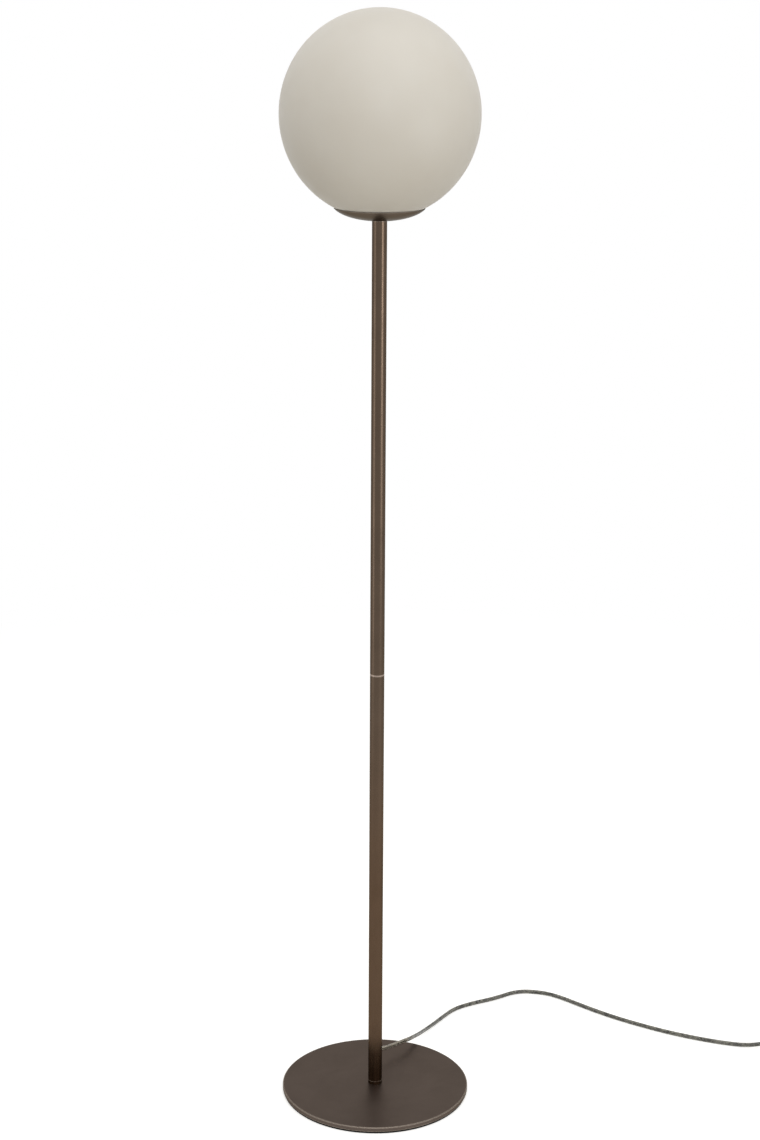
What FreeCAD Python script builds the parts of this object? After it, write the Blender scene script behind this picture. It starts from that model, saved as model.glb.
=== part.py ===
import FreeCAD, Part
import math
import os
import re

import Sketcher

# A floor lamp: an opal glass globe in a shallow metal dish, on a slim pole in two lengths, on a flat
# round steel base. Its mains lead has a foot switch and ends in a two-pin plug. Millimetres.
# Origin: the middle of the base's underside, on the floor. +Z is up, and the lead leaves towards +Y.

DOCUMENT = FreeCAD.newDocument("globe_floor_lamp")

# Driving dimensions: name, value, what it is.
SIZES = [
    ("base_diameter", 255.0, "steel base plate, across"),
    ("base_thick", 6.5, "steel base plate, thickness"),
    ("base_edge", 0.8, "chamfers round the base plate"),
    ("base_recess_diameter", 26.0, "recess under the base plate for the pole screw's washer"),
    ("pad_thick", 2.5, "foam pad under the base plate"),
    ("pad_inset", 1.5, "pad's edge, in from the plate's edge"),
    ("pad_hole_diameter", 40.0, "hole in the middle of the pad"),
    ("floor_clear", 0.8, "screw heads above the floor"),
    ("screw_diameter", 8.0, "pole screw, across its thread"),
    ("screw_engaged", 8.8, "pole screw, length inside the pole"),
    ("screw_head_diameter", 13.0, "pole screw's head, across"),
    ("screw_head_high", 4.0, "pole screw's head, height"),
    ("screw_socket_diameter", 6.0, "pole screw's hex socket, across its corners"),
    ("screw_socket_deep", 2.4, "pole screw's hex socket, depth"),
    ("screw_gap", 0.25, "round the pole screw in the washer, the base plate and the foot ring"),
    ("washer_diameter", 24.0, "washer on the pole screw"),
    ("washer_thick", 1.2, "washer on the pole screw"),
    ("thread_gap", 0.05, "between a male thread and its female thread"),
    ("slip_gap", 0.05, "between a pressed or trapped piece and its seat"),
    ("tube_diameter", 19.0, "pole tubes, outside"),
    ("tube_wall", 1.5, "pole tubes, wall"),
    ("lower_tube_long", 586.0, "lower pole tube"),
    ("upper_tube_long", 592.0, "upper pole tube"),
    ("foot_ring_high", 5.0, "turned ring between the base plate and the lower tube"),
    ("ring_edge", 0.3, "chamfers on the foot ring and the joint ring"),
    ("joint_ring_high", 2.0, "bright ring between the two tubes"),
    ("tube_plug_long", 10.0, "threaded plug in the foot of the lower tube"),
    ("insert_long", 14.0, "threaded inserts in the other tube ends"),
    ("nipple_diameter", 10.0, "hollow threaded nipples, outside"),
    ("nipple_bore", 7.2, "hollow threaded nipples, inside"),
    ("nipple_engaged", 12.0, "length of a nipple inside an insert"),
    ("cable_hole_diameter", 9.8, "cable's hole in the back of the lower tube"),
    ("cable_hole_above", 6.0, "middle of the cable's hole, above the tube's plug"),
    ("relief_gap", 0.1, "round the strain relief's neck, and round the cable in it"),
    ("relief_flange_diameter", 13.0, "strain relief's flange on the tube"),
    ("relief_flange_out", 2.5, "flange's face, out from the back of the tube"),
    ("relief_root_diameter", 10.0, "strain relief's tail at its flange"),
    ("relief_tip_diameter", 7.4, "strain relief's tail at its tip"),
    ("relief_long", 22.0, "strain relief's tail"),
    ("relief_lip_diameter", 10.8, "strain relief's lip inside the tube"),
    ("relief_lip_thick", 1.4, "strain relief's lip inside the tube"),
    ("cable_diameter", 5.0, "cable inside the pole and the switch"),
    ("cable_bend", 6.0, "radius where the cable turns up the pole"),
    ("cord_diameter", 6.2, "flat mains lead, across its width"),
    ("dish_diameter", 120.0, "width that the dish's curve would reach at its equator"),
    ("dish_deep", 22.2, "from the dish's underside to that equator"),
    ("dish_rim_high", 15.5, "dish's rim above its underside"),
    ("dish_wall", 1.0, "dish's wall"),
    ("dish_land_diameter", 26.0, "flat seat in the middle of the dish"),
    ("dish_land_thick", 1.8, "that seat's top above the dish's underside"),
    ("globe_diameter", 250.0, "glass globe, across"),
    ("globe_half_high", 128.0, "glass globe, from its middle to its top"),
    ("globe_wall", 2.5, "glass wall"),
    ("globe_opening", 90.0, "round opening in the globe's foot"),
    ("globe_rim_gap", 0.7, "between the globe and the dish's rim"),
    ("glass_gap", 0.3, "between the globe and the ring and spring that hold it"),
    ("gasket_start", 1.5, "rubber ring under the glass, out from the globe's opening"),
    ("gasket_end", 2.5, "rubber ring under the glass, in from the dish's rim"),
    ("spring_thick", 0.8, "three-armed globe spring, strip"),
    ("spring_wide", 9.0, "globe spring, width of an arm"),
    ("spring_arms", 3.0, "globe spring, number of arms"),
    ("spring_ring_diameter", 26.0, "globe spring, ring under the nut"),
    ("spring_past", 1.1, "globe spring's upright stretch, past each edge of the opening"),
    ("spring_tip_high", 5.0, "globe spring, height of the tip that guides the globe"),
    ("spring_tip_in", 3.5, "globe spring, inward lean of that tip"),
    ("lock_washer_diameter", 17.0, "lock washer on the globe spring"),
    ("lock_washer_thick", 0.9, "lock washer on the globe spring"),
    ("nut_across", 14.0, "gallery nut, across its flats"),
    ("nut_high", 4.0, "gallery nut"),
    ("holder_diameter", 39.0, "lampholder, outside"),
    ("holder_wall", 1.8, "lampholder's cap, wall"),
    ("holder_neck_diameter", 17.0, "lampholder's neck"),
    ("holder_neck_high", 5.0, "straight part of that neck"),
    ("holder_neck_thread", 9.0, "length of thread in the neck"),
    ("holder_shoulder_high", 14.0, "where the cap reaches its full width"),
    ("holder_ledge_high", 18.0, "ledge inside the cap that the insulator rests on"),
    ("holder_ledge_thick", 3.1, "that ledge's thickness"),
    ("holder_ledge_wide", 2.2, "that ledge's width"),
    ("holder_cap_high", 22.0, "lampholder's cap"),
    ("holder_body_high", 32.8, "lampholder's body"),
    ("holder_body_wall", 3.1, "lampholder's body, wall"),
    ("holder_lip_gap", 1.75, "round the bulb's thread in the top of the lampholder"),
    ("holder_lip_thick", 2.2, "lip round that opening"),
    ("insulator_step_high", 6.0, "insulator, above its flange"),
    ("shell_gap", 0.45, "between the screw shell and the bulb's thread"),
    ("shell_wall", 0.4, "brass screw shell, wall"),
    ("shell_high", 22.0, "brass screw shell"),
    ("shell_foot_bore", 22.0, "hole in the screw shell's foot"),
    ("contact_diameter", 5.0, "centre contact's button"),
    ("contact_foot_diameter", 9.0, "centre contact's foot"),
    ("contact_foot_thick", 0.5, "centre contact's foot"),
    ("contact_high", 3.0, "centre contact"),
    ("terminal_apart", 18.0, "between the two terminal screws"),
    ("terminal_diameter", 2.4, "terminal screws, thread"),
    ("terminal_long", 6.0, "terminal screws, in the insulator"),
    ("terminal_head_diameter", 4.4, "terminal screws, head"),
    ("terminal_head_high", 1.8, "terminal screws, head"),
    ("lead_diameter", 1.8, "insulated wires in the lampholder"),
    ("lead_apart", 2.6, "between the wires where they leave the cable"),
    ("cable_past_nipple", 1.0, "cable's end above the top nipple"),
    ("bulb_gap", 0.3, "between the bulb's tip and the centre contact"),
    ("bulb_thread_diameter", 26.3, "bulb's cap, over its thread"),
    ("bulb_thread_deep", 1.1, "depth of that thread"),
    ("bulb_thread_pitch", 3.6, "pitch of that thread"),
    ("bulb_thread_turns", 5.0, "turns of that thread"),
    ("bulb_thread_start", 6.2, "start of that thread, above the bulb's tip"),
    ("bulb_tip_diameter", 9.0, "bulb's contact"),
    ("bulb_tip_thick", 1.2, "bulb's contact"),
    ("bulb_insulator_diameter", 19.6, "bulb's black insulator, at its widest"),
    ("bulb_insulator_high", 5.0, "bulb's contact and insulator"),
    ("bulb_cap_foot", 3.0, "foot of the bulb's cap, above its tip"),
    ("bulb_cap_wall", 0.3, "bulb's cap, sheet inside the thread"),
    ("bulb_cap_high", 26.0, "top of the bulb's cap, above its tip"),
    ("bulb_diameter", 60.0, "bulb, across"),
    ("bulb_wall", 1.5, "bulb's housing and dome, wall"),
    ("bulb_housing_foot", 28.0, "bulb's housing, across its foot"),
    ("bulb_housing_waist", 42.0, "bulb's housing, across its waist"),
    ("bulb_housing_waist_high", 20.0, "height of that waist"),
    ("bulb_housing_high", 42.0, "bulb's housing"),
    ("bulb_dome_drop", 5.4, "how far the dome's ball has its middle above the housing"),
    ("switch_x", 626.0, "foot switch, middle"),
    ("switch_y", 122.0, "foot switch, middle"),
    ("switch_long", 64.0, "foot switch, along the lead"),
    ("switch_wide", 38.0, "foot switch, across the lead"),
    ("switch_wall", 1.8, "foot switch, walls"),
    ("switch_corner", 12.0, "foot switch, corners"),
    ("switch_base_high", 8.0, "foot switch, lower half"),
    ("switch_cover_high", 12.0, "foot switch, upper half"),
    ("switch_edge", 1.6, "round on the switch's top edge"),
    ("switch_relief_long", 20.0, "switch's strain reliefs, outside"),
    ("switch_neck_diameter", 7.0, "switch's strain reliefs, in the wall"),
    ("switch_flange_diameter", 10.0, "switch's strain reliefs, inside the wall"),
    ("switch_flange_thick", 2.0, "switch's strain reliefs, inside the wall"),
    ("switch_screws_apart", 46.0, "between the switch's two screws, along the lead"),
    ("switch_screws_across", 19.0, "between the switch's two screws, across the lead"),
    ("switch_screw_diameter", 3.0, "switch's screws"),
    ("switch_screw_long", 14.0, "switch's screws, below the head"),
    ("switch_screw_head_diameter", 5.4, "switch's screws, head"),
    ("switch_screw_head_high", 2.0, "switch's screws, head"),
    ("switch_screw_gap", 0.1, "round the switch's screws in the lower half"),
    ("switch_boss_wall", 1.0, "round the screws' heads in their posts"),
    ("button_diameter", 23.4, "push button"),
    ("button_gap", 0.3, "round the push button, and between it and its stop"),
    ("button_flange_wide", 1.5, "push button's flange, under the cover"),
    ("button_flange_thick", 2.0, "push button's flange"),
    ("button_proud", 4.0, "push button, above the cover"),
    ("button_edge", 1.2, "push button's top edge"),
    ("button_recess_gap", 0.8, "round the spring, in the button"),
    ("button_roof", 3.1, "push button, above its spring"),
    ("button_spring_diameter", 7.4, "button's spring, outside"),
    ("button_spring_wire", 0.8, "button's spring, wire"),
    ("button_spring_turns", 5.0, "button's spring, turns"),
    ("block_long", 26.0, "contact block in the switch"),
    ("block_wide", 14.0, "contact block in the switch"),
    ("block_high", 5.0, "contact block in the switch"),
    ("leaf_long", 7.5, "brass contacts on the block"),
    ("leaf_wide", 3.0, "brass contacts on the block"),
    ("leaf_thick", 0.8, "brass contacts on the block"),
    ("leaf_apart", 17.0, "between the brass contacts' middles"),
    ("coil_x", 730.0, "put-away coil of the lead, middle"),
    ("coil_y", 162.0, "put-away coil of the lead, middle"),
    ("coil_outer_turn", 80.0, "coil, across the middle of its outer turns"),
    ("coil_pitch", 6.4, "coil, between turns that lie side by side"),
    ("coil_edge", 1.5, "coil's rounded corners"),
    ("tie_wide", 14.0, "tie round the coil"),
    ("tie_thick", 0.7, "tie round the coil"),
    ("tie_gap", 0.1, "between the tie and the coil"),
    ("tie_clear", 0.2, "tie above the floor"),
    ("tie_turn", 135.0, "where the tie is, in degrees round the coil"),
    ("plug_x", 770.0, "plug, middle"),
    ("plug_y", 212.0, "tip of the plug's strain relief"),
    ("plug_middle_high", 7.0, "plug's middle, above the floor"),
    ("plug_relief_long", 22.0, "plug's strain relief"),
    ("plug_long", 35.0, "plug's body"),
    ("plug_wide", 35.0, "plug's body"),
    ("plug_thick", 13.6, "plug's body"),
    ("plug_back_wide", 14.0, "plug's body, where the lead enters"),
    ("plug_shoulder", 10.0, "plug's body, length of its sloping shoulders"),
    ("plug_front_wide", 27.0, "plug's body, at the pins' face"),
    ("plug_front_taper", 7.0, "plug's body, length that narrows to that face"),
    ("plug_edge", 2.0, "round on the plug's long edges"),
    ("pin_diameter", 4.0, "plug's pins, out of the body"),
    ("pin_long", 19.0, "plug's pins, out of the body"),
    ("pin_tip", 1.0, "chamfer at the pins' tips"),
    ("pin_apart", 18.6, "between the plug's pins"),
    ("pin_root_diameter", 2.6, "plug's pins, inside the body"),
    ("pin_rooted", 6.0, "plug's pins, inside the body"),
]
NAMES = {name for name, value, meaning in SIZES}

# Heights on the lamp's axis, each worked out from the one below it.
SCREW_SHOULDER = "(floor_clear + screw_head_high)"
RECESS_DEEP = f"({SCREW_SHOULDER} + washer_thick - pad_thick)"
BASE_TOP = "(pad_thick + base_thick)"
POLE_FOOT = f"({BASE_TOP} + foot_ring_high)"
CABLE_HOLE = f"({POLE_FOOT} + tube_plug_long + cable_hole_above)"
LOWER_TOP = f"({POLE_FOOT} + lower_tube_long)"
UPPER_FOOT = f"({LOWER_TOP} + joint_ring_high)"
DISH_FOOT = f"({UPPER_FOOT} + upper_tube_long)"
SPRING_FOOT = f"({DISH_FOOT} + dish_land_thick)"
LOCK_FOOT = f"({SPRING_FOOT} + spring_thick)"
NUT_FOOT = f"({LOCK_FOOT} + lock_washer_thick)"
HOLDER_FOOT = f"({NUT_FOOT} + nut_high)"
NIPPLE_TOP = f"({HOLDER_FOOT} + holder_neck_thread)"
CABLE_TOP = f"({NIPPLE_TOP} + cable_past_nipple)"
LEDGE = f"({HOLDER_FOOT} + holder_ledge_high)"
TERMINAL_FOOT = f"({LEDGE} - terminal_head_high)"
HOLDER_BODY_FOOT = f"({HOLDER_FOOT} + holder_cap_high)"
SHELL_FOOT = f"({HOLDER_BODY_FOOT} + insulator_step_high)"
BULB_FOOT = f"({SHELL_FOOT} + contact_high + bulb_gap)"
HOUSING_FOOT = f"({BULB_FOOT} + bulb_cap_high)"
DOME_FOOT = f"({HOUSING_FOOT} + bulb_housing_high)"

# Radii that several pieces share.
TUBE_OUT = "(tube_diameter / 2)"
TUBE_IN = "(tube_diameter / 2 - tube_wall)"
NIPPLE_OUT = "(nipple_diameter / 2)"
NIPPLE_IN = "(nipple_bore / 2)"
THREAD_BORE = "(nipple_diameter / 2 + thread_gap)"
SCREW_BORE = "(screw_diameter / 2 + screw_gap)"
CABLE_BORE = "(cable_diameter / 2 + relief_gap)"
HOLDER_OUT = "(holder_diameter / 2)"
HOLDER_IN = "(holder_diameter / 2 - holder_wall)"
HOLDER_BODY_IN = "(holder_diameter / 2 - holder_body_wall)"
THREAD_CREST = "(bulb_thread_diameter / 2)"
THREAD_ROOT = "(bulb_thread_diameter / 2 - bulb_thread_deep)"
CAP_BORE = f"({THREAD_ROOT} - bulb_cap_wall)"
DOME_RIM = "sqrt(pow(bulb_diameter / 2; 2) - pow(bulb_dome_drop; 2))"
SHELL_BORE = f"({THREAD_CREST} + shell_gap)"

# The dish is the foot of a flattened ball. The globe's side stands the rim gap in from the dish's rim,
# which sets the globe's height, and the edges of the globe's opening follow.
DISH_MIDDLE = f"({DISH_FOOT} + dish_deep)"
DISH_RIM = f"({DISH_FOOT} + dish_rim_high)"
DISH_OUT = "(dish_diameter / 2)"
DISH_IN = "(dish_diameter / 2 - dish_wall)"
RIM_IN = f"({DISH_IN} * sqrt(1 - pow((dish_deep - dish_rim_high) / (dish_deep - dish_wall); 2)))"
GLOBE_OUT = "(globe_diameter / 2)"
GLOBE_IN = "(globe_diameter / 2 - globe_wall)"
GLOBE_HALF_IN = "(globe_half_high - globe_wall)"
GLOBE_MIDDLE = (
    f"({DISH_RIM} + globe_half_high * sqrt(1 - pow(({RIM_IN} - globe_rim_gap) / {GLOBE_OUT}; 2)))"
)
OPENING = "(globe_opening / 2)"
OPENING_LOW = f"({GLOBE_MIDDLE} - globe_half_high * sqrt(1 - pow({OPENING} / {GLOBE_OUT}; 2)))"
OPENING_HIGH = f"({GLOBE_MIDDLE} - {GLOBE_HALF_IN} * sqrt(1 - pow({OPENING} / {GLOBE_IN}; 2)))"

# The foot switch, along the lead and upwards.
SWITCH_END = "(switch_long / 2)"
SWITCH_FLOOR = "switch_wall"
SWITCH_SPLIT = "switch_base_high"
SWITCH_TOP = "(switch_base_high + switch_cover_high)"
SWITCH_ROOF = f"({SWITCH_TOP} - switch_wall)"
BUTTON_FOOT = f"({SWITCH_ROOF} - button_gap - button_flange_thick)"
BUTTON_TOP = f"({SWITCH_TOP} + button_proud)"
BLOCK_TOP = f"({SWITCH_FLOOR} + block_high)"
SCREW_SEAT = "(floor_clear + switch_screw_head_high)"
BOSS_OUT = "(switch_screw_head_diameter / 2 + switch_screw_gap + switch_boss_wall)"

# The coil's bundle is two turns wide and two turns high, and lies on its tie.
COIL_FOOT = "(tie_clear + tie_thick + tie_gap)"
COIL_HIGH = "(coil_pitch + cord_diameter)"
COIL_IN = "(coil_outer_turn / 2 - coil_pitch - cord_diameter / 2)"
COIL_OUT = "(coil_outer_turn / 2 + cord_diameter / 2)"

# The plug points towards +Y.
PLUG_BACK = "(plug_y + plug_relief_long)"
PLUG_FACE = f"({PLUG_BACK} + plug_long)"

# The lead's route, chosen by hand after the photograph: out of the relief, down over the base's back
# edge, round on the floor and out of the picture to the switch.
LAMP_TO_SWITCH = [
    (0, 34, 30),
    (0, 43.8, 30),
    (2.4, 52.9, 29.2),
    (7.3, 60.9, 28),
    (14.5, 68.2, 26.8),
    (26, 78.5, 25.6),
    (38, 90.5, 24.6),
    (49, 105, 21.3),
    (56.5, 121.5, 17.3),
    (63.5, 139, 12.6),
    (74, 165, 7),
    (86, 188, 3.8),
    (98, 208, 3.2),
    (116, 236, 3.2),
    (141, 254, 3.2),
    (180, 273, 3.2),
    (214, 298, 3.2),
    (248, 295, 3.2),
    (274, 282, 3.2),
    (307, 251, 3.2),
    (345, 218, 3.2),
    (385, 190, 3.2),
    (430, 163, 3.2),
    (476, 142, 3.2),
    (518, 128, 3.2),
    (541, 123.5, 4.6),
    (558, 122, 8),
    (574, 122, 8),
]
# On from the switch, down to the coil's outer turn, and from the top of the coil to the plug.
SWITCH_TO_COIL = [(678, 122, 8), (694, 122, 8), (711, 122, 5.3), (730, 122, 4.1)]
COIL_TO_PLUG = [
    (770, 162, 10.5),
    (770, 175, 10.4),
    (771, 187, 9.3),
    (770, 200, 7),
    (770, 212, 7),
]
# An arc's share of the shorter of its two runs, on each side of its corner.
RUN_SHARE = 0.45

UPRIGHT = FreeCAD.Rotation()
TOWARDS_X = FreeCAD.Rotation(FreeCAD.Vector(0, 1, 0), 90)
AWAY_FROM_X = FreeCAD.Rotation(FreeCAD.Vector(0, 1, 0), -90)
TOWARDS_Y = FreeCAD.Rotation(FreeCAD.Vector(1, 0, 0), -90)
FULL_TURN = "360"
SIDES = ((1, "1"), (2, "-1"))
LEVEL = 1e-6


def write_sheet():
    """The sheet of driving dimensions, one row each, with its name as the value's alias."""
    sheet = DOCUMENT.addObject("Spreadsheet::Sheet", "sizes")
    for row, (name, value, meaning) in enumerate(SIZES, start=1):
        sheet.set(f"A{row}", name)
        sheet.set(f"B{row}", str(value))
        sheet.set(f"C{row}", meaning)
        sheet.setAlias(f"B{row}", name)
    DOCUMENT.recompute()
    return sheet


SHEET = write_sheet()


def cells(expression):
    """The expression with each size's name pointed at its cell in the sheet."""
    return re.sub(r"[a-z]\w*", lambda word: f"sizes.{word[0]}" if word[0] in NAMES else word[0], expression)


def number(expression):
    """An expression's value, read from the sheet."""
    result = SHEET.evalExpression(cells(expression))
    return float(getattr(result, "Value", result))


def bind(item, **properties):
    """Tie an object's properties to expressions."""
    for name, expression in properties.items():
        item.setExpression(name, cells(expression))


def place(item, x="0", y="0", z="0", turn=UPRIGHT):
    """Put an object at a place given by expressions, turned first."""
    item.Placement = FreeCAD.Placement(FreeCAD.Vector(), turn)
    for axis, expression in (("x", x), ("y", y), ("z", z)):
        if expression != "0":
            item.setExpression(f".Placement.Base.{axis}", cells(expression))
    return item


def cylinder(name, radius, height, **where):
    item = DOCUMENT.addObject("Part::Cylinder", name)
    bind(item, Radius=radius, Height=height)
    return place(item, **where)


def hexagon(name, corner_radius, height, **where):
    item = DOCUMENT.addObject("Part::Prism", name)
    item.Polygon = 6
    bind(item, Circumradius=corner_radius, Height=height)
    return place(item, **where)


def ball(name, radius, **where):
    item = DOCUMENT.addObject("Part::Sphere", name)
    bind(item, Radius=radius)
    return place(item, **where)


def flattened_ball(name, radius, half_high, **where):
    """A ball with a half height of its own, about Z."""
    item = DOCUMENT.addObject("Part::Ellipsoid", name)
    item.Angle1 = -90
    item.Angle2 = 90
    bind(item, Radius1=half_high, Radius2=radius, Radius3=radius)
    return place(item, **where)


def cut(name, base, *tools):
    """The base without each of the tools."""
    for count, tool in enumerate(tools, start=1):
        item = DOCUMENT.addObject("Part::Cut", name if count == len(tools) else f"{name}_cut_{count}")
        item.Base = base
        item.Tool = tool
        base = item
    return base


def common(name, base, tool):
    item = DOCUMENT.addObject("Part::Common", name)
    item.Base = base
    item.Tool = tool
    return item


def fused(name, *solids):
    item = DOCUMENT.addObject("Part::MultiFuse", name)
    item.Shapes = list(solids)
    item.Refine = True
    return item


def group(name, solids):
    """Identical or mirrored pieces that share one node, as separate solids."""
    item = DOCUMENT.addObject("Part::Compound", name)
    item.Links = list(solids)
    return item


def sketch_on(body, name, role):
    """An empty sketch on one of the body's own origin planes."""
    sketch = body.newObject("Sketcher::SketchObject", name)
    plane = next(item for item in body.Origin.OriginFeatures if item.Role == role)
    sketch.AttachmentSupport = [(plane, "")]
    sketch.MapMode = "FlatFace"
    return sketch


def constrain(sketch, expression, kind, *points):
    """A measured constraint, tied to an expression."""
    datum = sketch.addConstraint(Sketcher.Constraint(kind, *points, number(expression)))
    sketch.setExpression(f"Constraints[{datum}]", cells(expression))


def outlined(body, name, role, outline):
    """A sketch of one closed outline of straight lines, each corner tied to its two expressions."""
    sketch = sketch_on(body, name, role)
    corners = [FreeCAD.Vector(number(across), number(up), 0) for across, up in outline]
    for start, end in zip(corners, corners[1:] + corners[:1]):
        sketch.addGeometry(Part.LineSegment(start, end), False)
    for index in range(len(corners)):
        sketch.addConstraint(Sketcher.Constraint("Coincident", index, 2, (index + 1) % len(corners), 1))
    for index, (across, up) in enumerate(outline):
        for kind, expression, axis in (("DistanceX", across, -2), ("DistanceY", up, -1)):
            if expression == "0":
                sketch.addConstraint(Sketcher.Constraint("PointOnObject", index, 1, axis))
            else:
                constrain(sketch, expression, kind, -1, 1, index, 1)
    return sketch


def revolved(body, name, outline, angle=FULL_TURN):
    """A solid of revolution in a body. The outline is (radius, height) corners."""
    turning = body.newObject("PartDesign::Revolution", name)
    turning.Profile = outlined(body, f"{name}_section", "XZ_Plane", outline)
    turning.ReferenceAxis = (turning.Profile[0], ["V_Axis"])
    bind(turning, Angle=angle)
    return turning


def turned(name, outline, angle=FULL_TURN, **where):
    body = DOCUMENT.addObject("PartDesign::Body", name)
    body.Tip = revolved(body, f"{name}_turning", outline, angle)
    return place(body, **where)


def ring(name, inner, outer, height, edge=None, angle=FULL_TURN, **where):
    """A plain ring, with chamfers of size edge on its outer corners."""
    if edge is None:
        outline = [(inner, "0"), (outer, "0"), (outer, height), (inner, height)]
    else:
        outline = [
            (inner, "0"),
            (f"{outer} - {edge}", "0"),
            (outer, edge),
            (outer, f"{height} - {edge}"),
            (f"{outer} - {edge}", height),
            (inner, height),
        ]
    return turned(name, outline, angle, **where)


def is_upright(edge):
    return edge.BoundBox.XLength < LEVEL and edge.BoundBox.YLength < LEVEL


def is_level_at(height):
    return lambda edge: abs(edge.BoundBox.ZMin - height) < LEVEL and edge.BoundBox.ZLength < LEVEL


def block(name, outline, height, rounds=(), **where):
    """An upright block over an outline. Each round is (which edges, radius)."""
    body = DOCUMENT.addObject("PartDesign::Body", name)
    last = body.newObject("PartDesign::Pad", f"{name}_pad")
    last.Profile = outlined(body, f"{name}_outline", "XY_Plane", outline)
    bind(last, Length=height)
    for count, (wanted, radius) in enumerate(rounds, start=1):
        DOCUMENT.recompute()
        edges = [f"Edge{index}" for index, edge in enumerate(last.Shape.Edges, start=1) if wanted(edge)]
        rounding = body.newObject("PartDesign::Fillet", f"{name}_round_{count}")
        rounding.Base = (last, edges)
        bind(rounding, Radius=radius)
        last = rounding
    body.Tip = last
    return place(body, **where)


def oblong(long, wide):
    """The outline of a rectangle about the origin."""
    return [
        (f"-({long}) / 2", f"-({wide}) / 2"),
        (f"({long}) / 2", f"-({wide}) / 2"),
        (f"({long}) / 2", f"({wide}) / 2"),
        (f"-({long}) / 2", f"({wide}) / 2"),
    ]


def swept(name, edges, diameter):
    """A round tube of a diameter along a chain of edges."""
    path = Part.Wire(edges)
    start = edges[0].firstVertex().Point
    circle = Part.Wire(Part.makeCircle(diameter / 2, start, edges[0].lastVertex().Point - start))
    item = DOCUMENT.addObject("Part::Feature", name)
    item.Shape = path.makePipeShell([circle], True, True)
    item.Placement = FreeCAD.Placement()
    expected = math.pi * diameter**2 / 4 * path.Length
    print(f"{name}: {path.Length:.1f} long, volume {item.Shape.Volume / expected:.4f} of section x length")
    return item


def tube_along(name, points, diameter):
    """A round tube along straight runs joined by tangent arcs, each as large as its runs allow."""
    corners = [FreeCAD.Vector(*point) for point in points]
    edges = []
    radii = []
    at = corners[0]
    for before, corner, after in zip(corners, corners[1:], corners[2:]):
        back = (before - corner).normalize()
        onward = (after - corner).normalize()
        run = min(before.distanceToPoint(corner), corner.distanceToPoint(after))
        half_turn = (math.pi - back.getAngle(onward)) / 2
        radius = RUN_SHARE * run / math.tan(half_turn)
        start = corner + back * (RUN_SHARE * run)
        end = corner + onward * (RUN_SHARE * run)
        middle = corner + (back + onward).normalize() * (radius / math.cos(half_turn) - radius)
        edges.append(Part.LineSegment(at, start).toShape())
        edges.append(Part.Arc(start, middle, end).toShape())
        radii.append(round(radius, 1))
        at = end
    edges.append(Part.LineSegment(at, corners[-1]).toShape())
    print(f"{name}: radii {radii}")
    return swept(name, edges, diameter)


# Base and pole


def floor_pad():
    return ring("floor_pad", "pad_hole_diameter / 2", "base_diameter / 2 - pad_inset", "pad_thick")


def base_plate():
    rim = "base_diameter / 2"
    recess = "base_recess_diameter / 2"
    outline = [
        (SCREW_BORE, RECESS_DEEP),
        (recess, RECESS_DEEP),
        (recess, "0"),
        (f"{rim} - base_edge", "0"),
        (rim, "base_edge"),
        (rim, "base_thick - base_edge"),
        (f"{rim} - base_edge", "base_thick"),
        (SCREW_BORE, "base_thick"),
    ]
    return turned("base_plate", outline, z="pad_thick")


def base_washer():
    return ring("base_washer", SCREW_BORE, "washer_diameter / 2", "washer_thick", z=SCREW_SHOULDER)


def base_screw():
    head = "screw_head_diameter / 2"
    shank = "screw_diameter / 2"
    end = f"{POLE_FOOT} + screw_engaged - floor_clear"
    outline = [
        ("0", "0"),
        (head, "0"),
        (head, "screw_head_high"),
        (shank, "screw_head_high"),
        (shank, end),
        ("0", end),
    ]
    blank = turned("base_screw_blank", outline, z="floor_clear")
    socket = hexagon("base_screw_socket", "screw_socket_diameter / 2", "screw_socket_deep", z="floor_clear")
    return cut("base_screw", blank, socket)


def foot_ring():
    return ring("foot_ring", SCREW_BORE, TUBE_OUT, "foot_ring_high", "ring_edge", z=BASE_TOP)


def tube_plug():
    bore = "screw_diameter / 2 + thread_gap"
    return ring("tube_plug", bore, f"{TUBE_IN} - slip_gap", "tube_plug_long", z=POLE_FOOT)


def lower_tube():
    tube = ring("lower_tube_blank", TUBE_IN, TUBE_OUT, "lower_tube_long", z=POLE_FOOT)
    hole = cylinder("cable_hole", "cable_hole_diameter / 2", TUBE_OUT, z=CABLE_HOLE, turn=TOWARDS_Y)
    return cut("lower_tube", tube, hole)


def upper_tube():
    return ring("upper_tube", TUBE_IN, TUBE_OUT, "upper_tube_long", z=UPPER_FOOT)


def tube_inserts():
    """The threaded inserts in the lower tube's top and in both ends of the upper tube."""
    outer = f"{TUBE_IN} - slip_gap"
    feet = [f"{LOWER_TOP} - insert_long", UPPER_FOOT, f"{DISH_FOOT} - insert_long"]
    return group(
        "tube_inserts",
        [
            ring(f"tube_insert_{count}", THREAD_BORE, outer, "insert_long", z=foot)
            for count, foot in enumerate(feet, start=1)
        ],
    )


def joint_ring():
    return ring("joint_ring", THREAD_BORE, TUBE_OUT, "joint_ring_high", "ring_edge", z=LOWER_TOP)


def joint_nipple():
    height = "joint_ring_high + 2 * nipple_engaged"
    return ring("joint_nipple", NIPPLE_IN, NIPPLE_OUT, height, z=f"{LOWER_TOP} - nipple_engaged")


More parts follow.
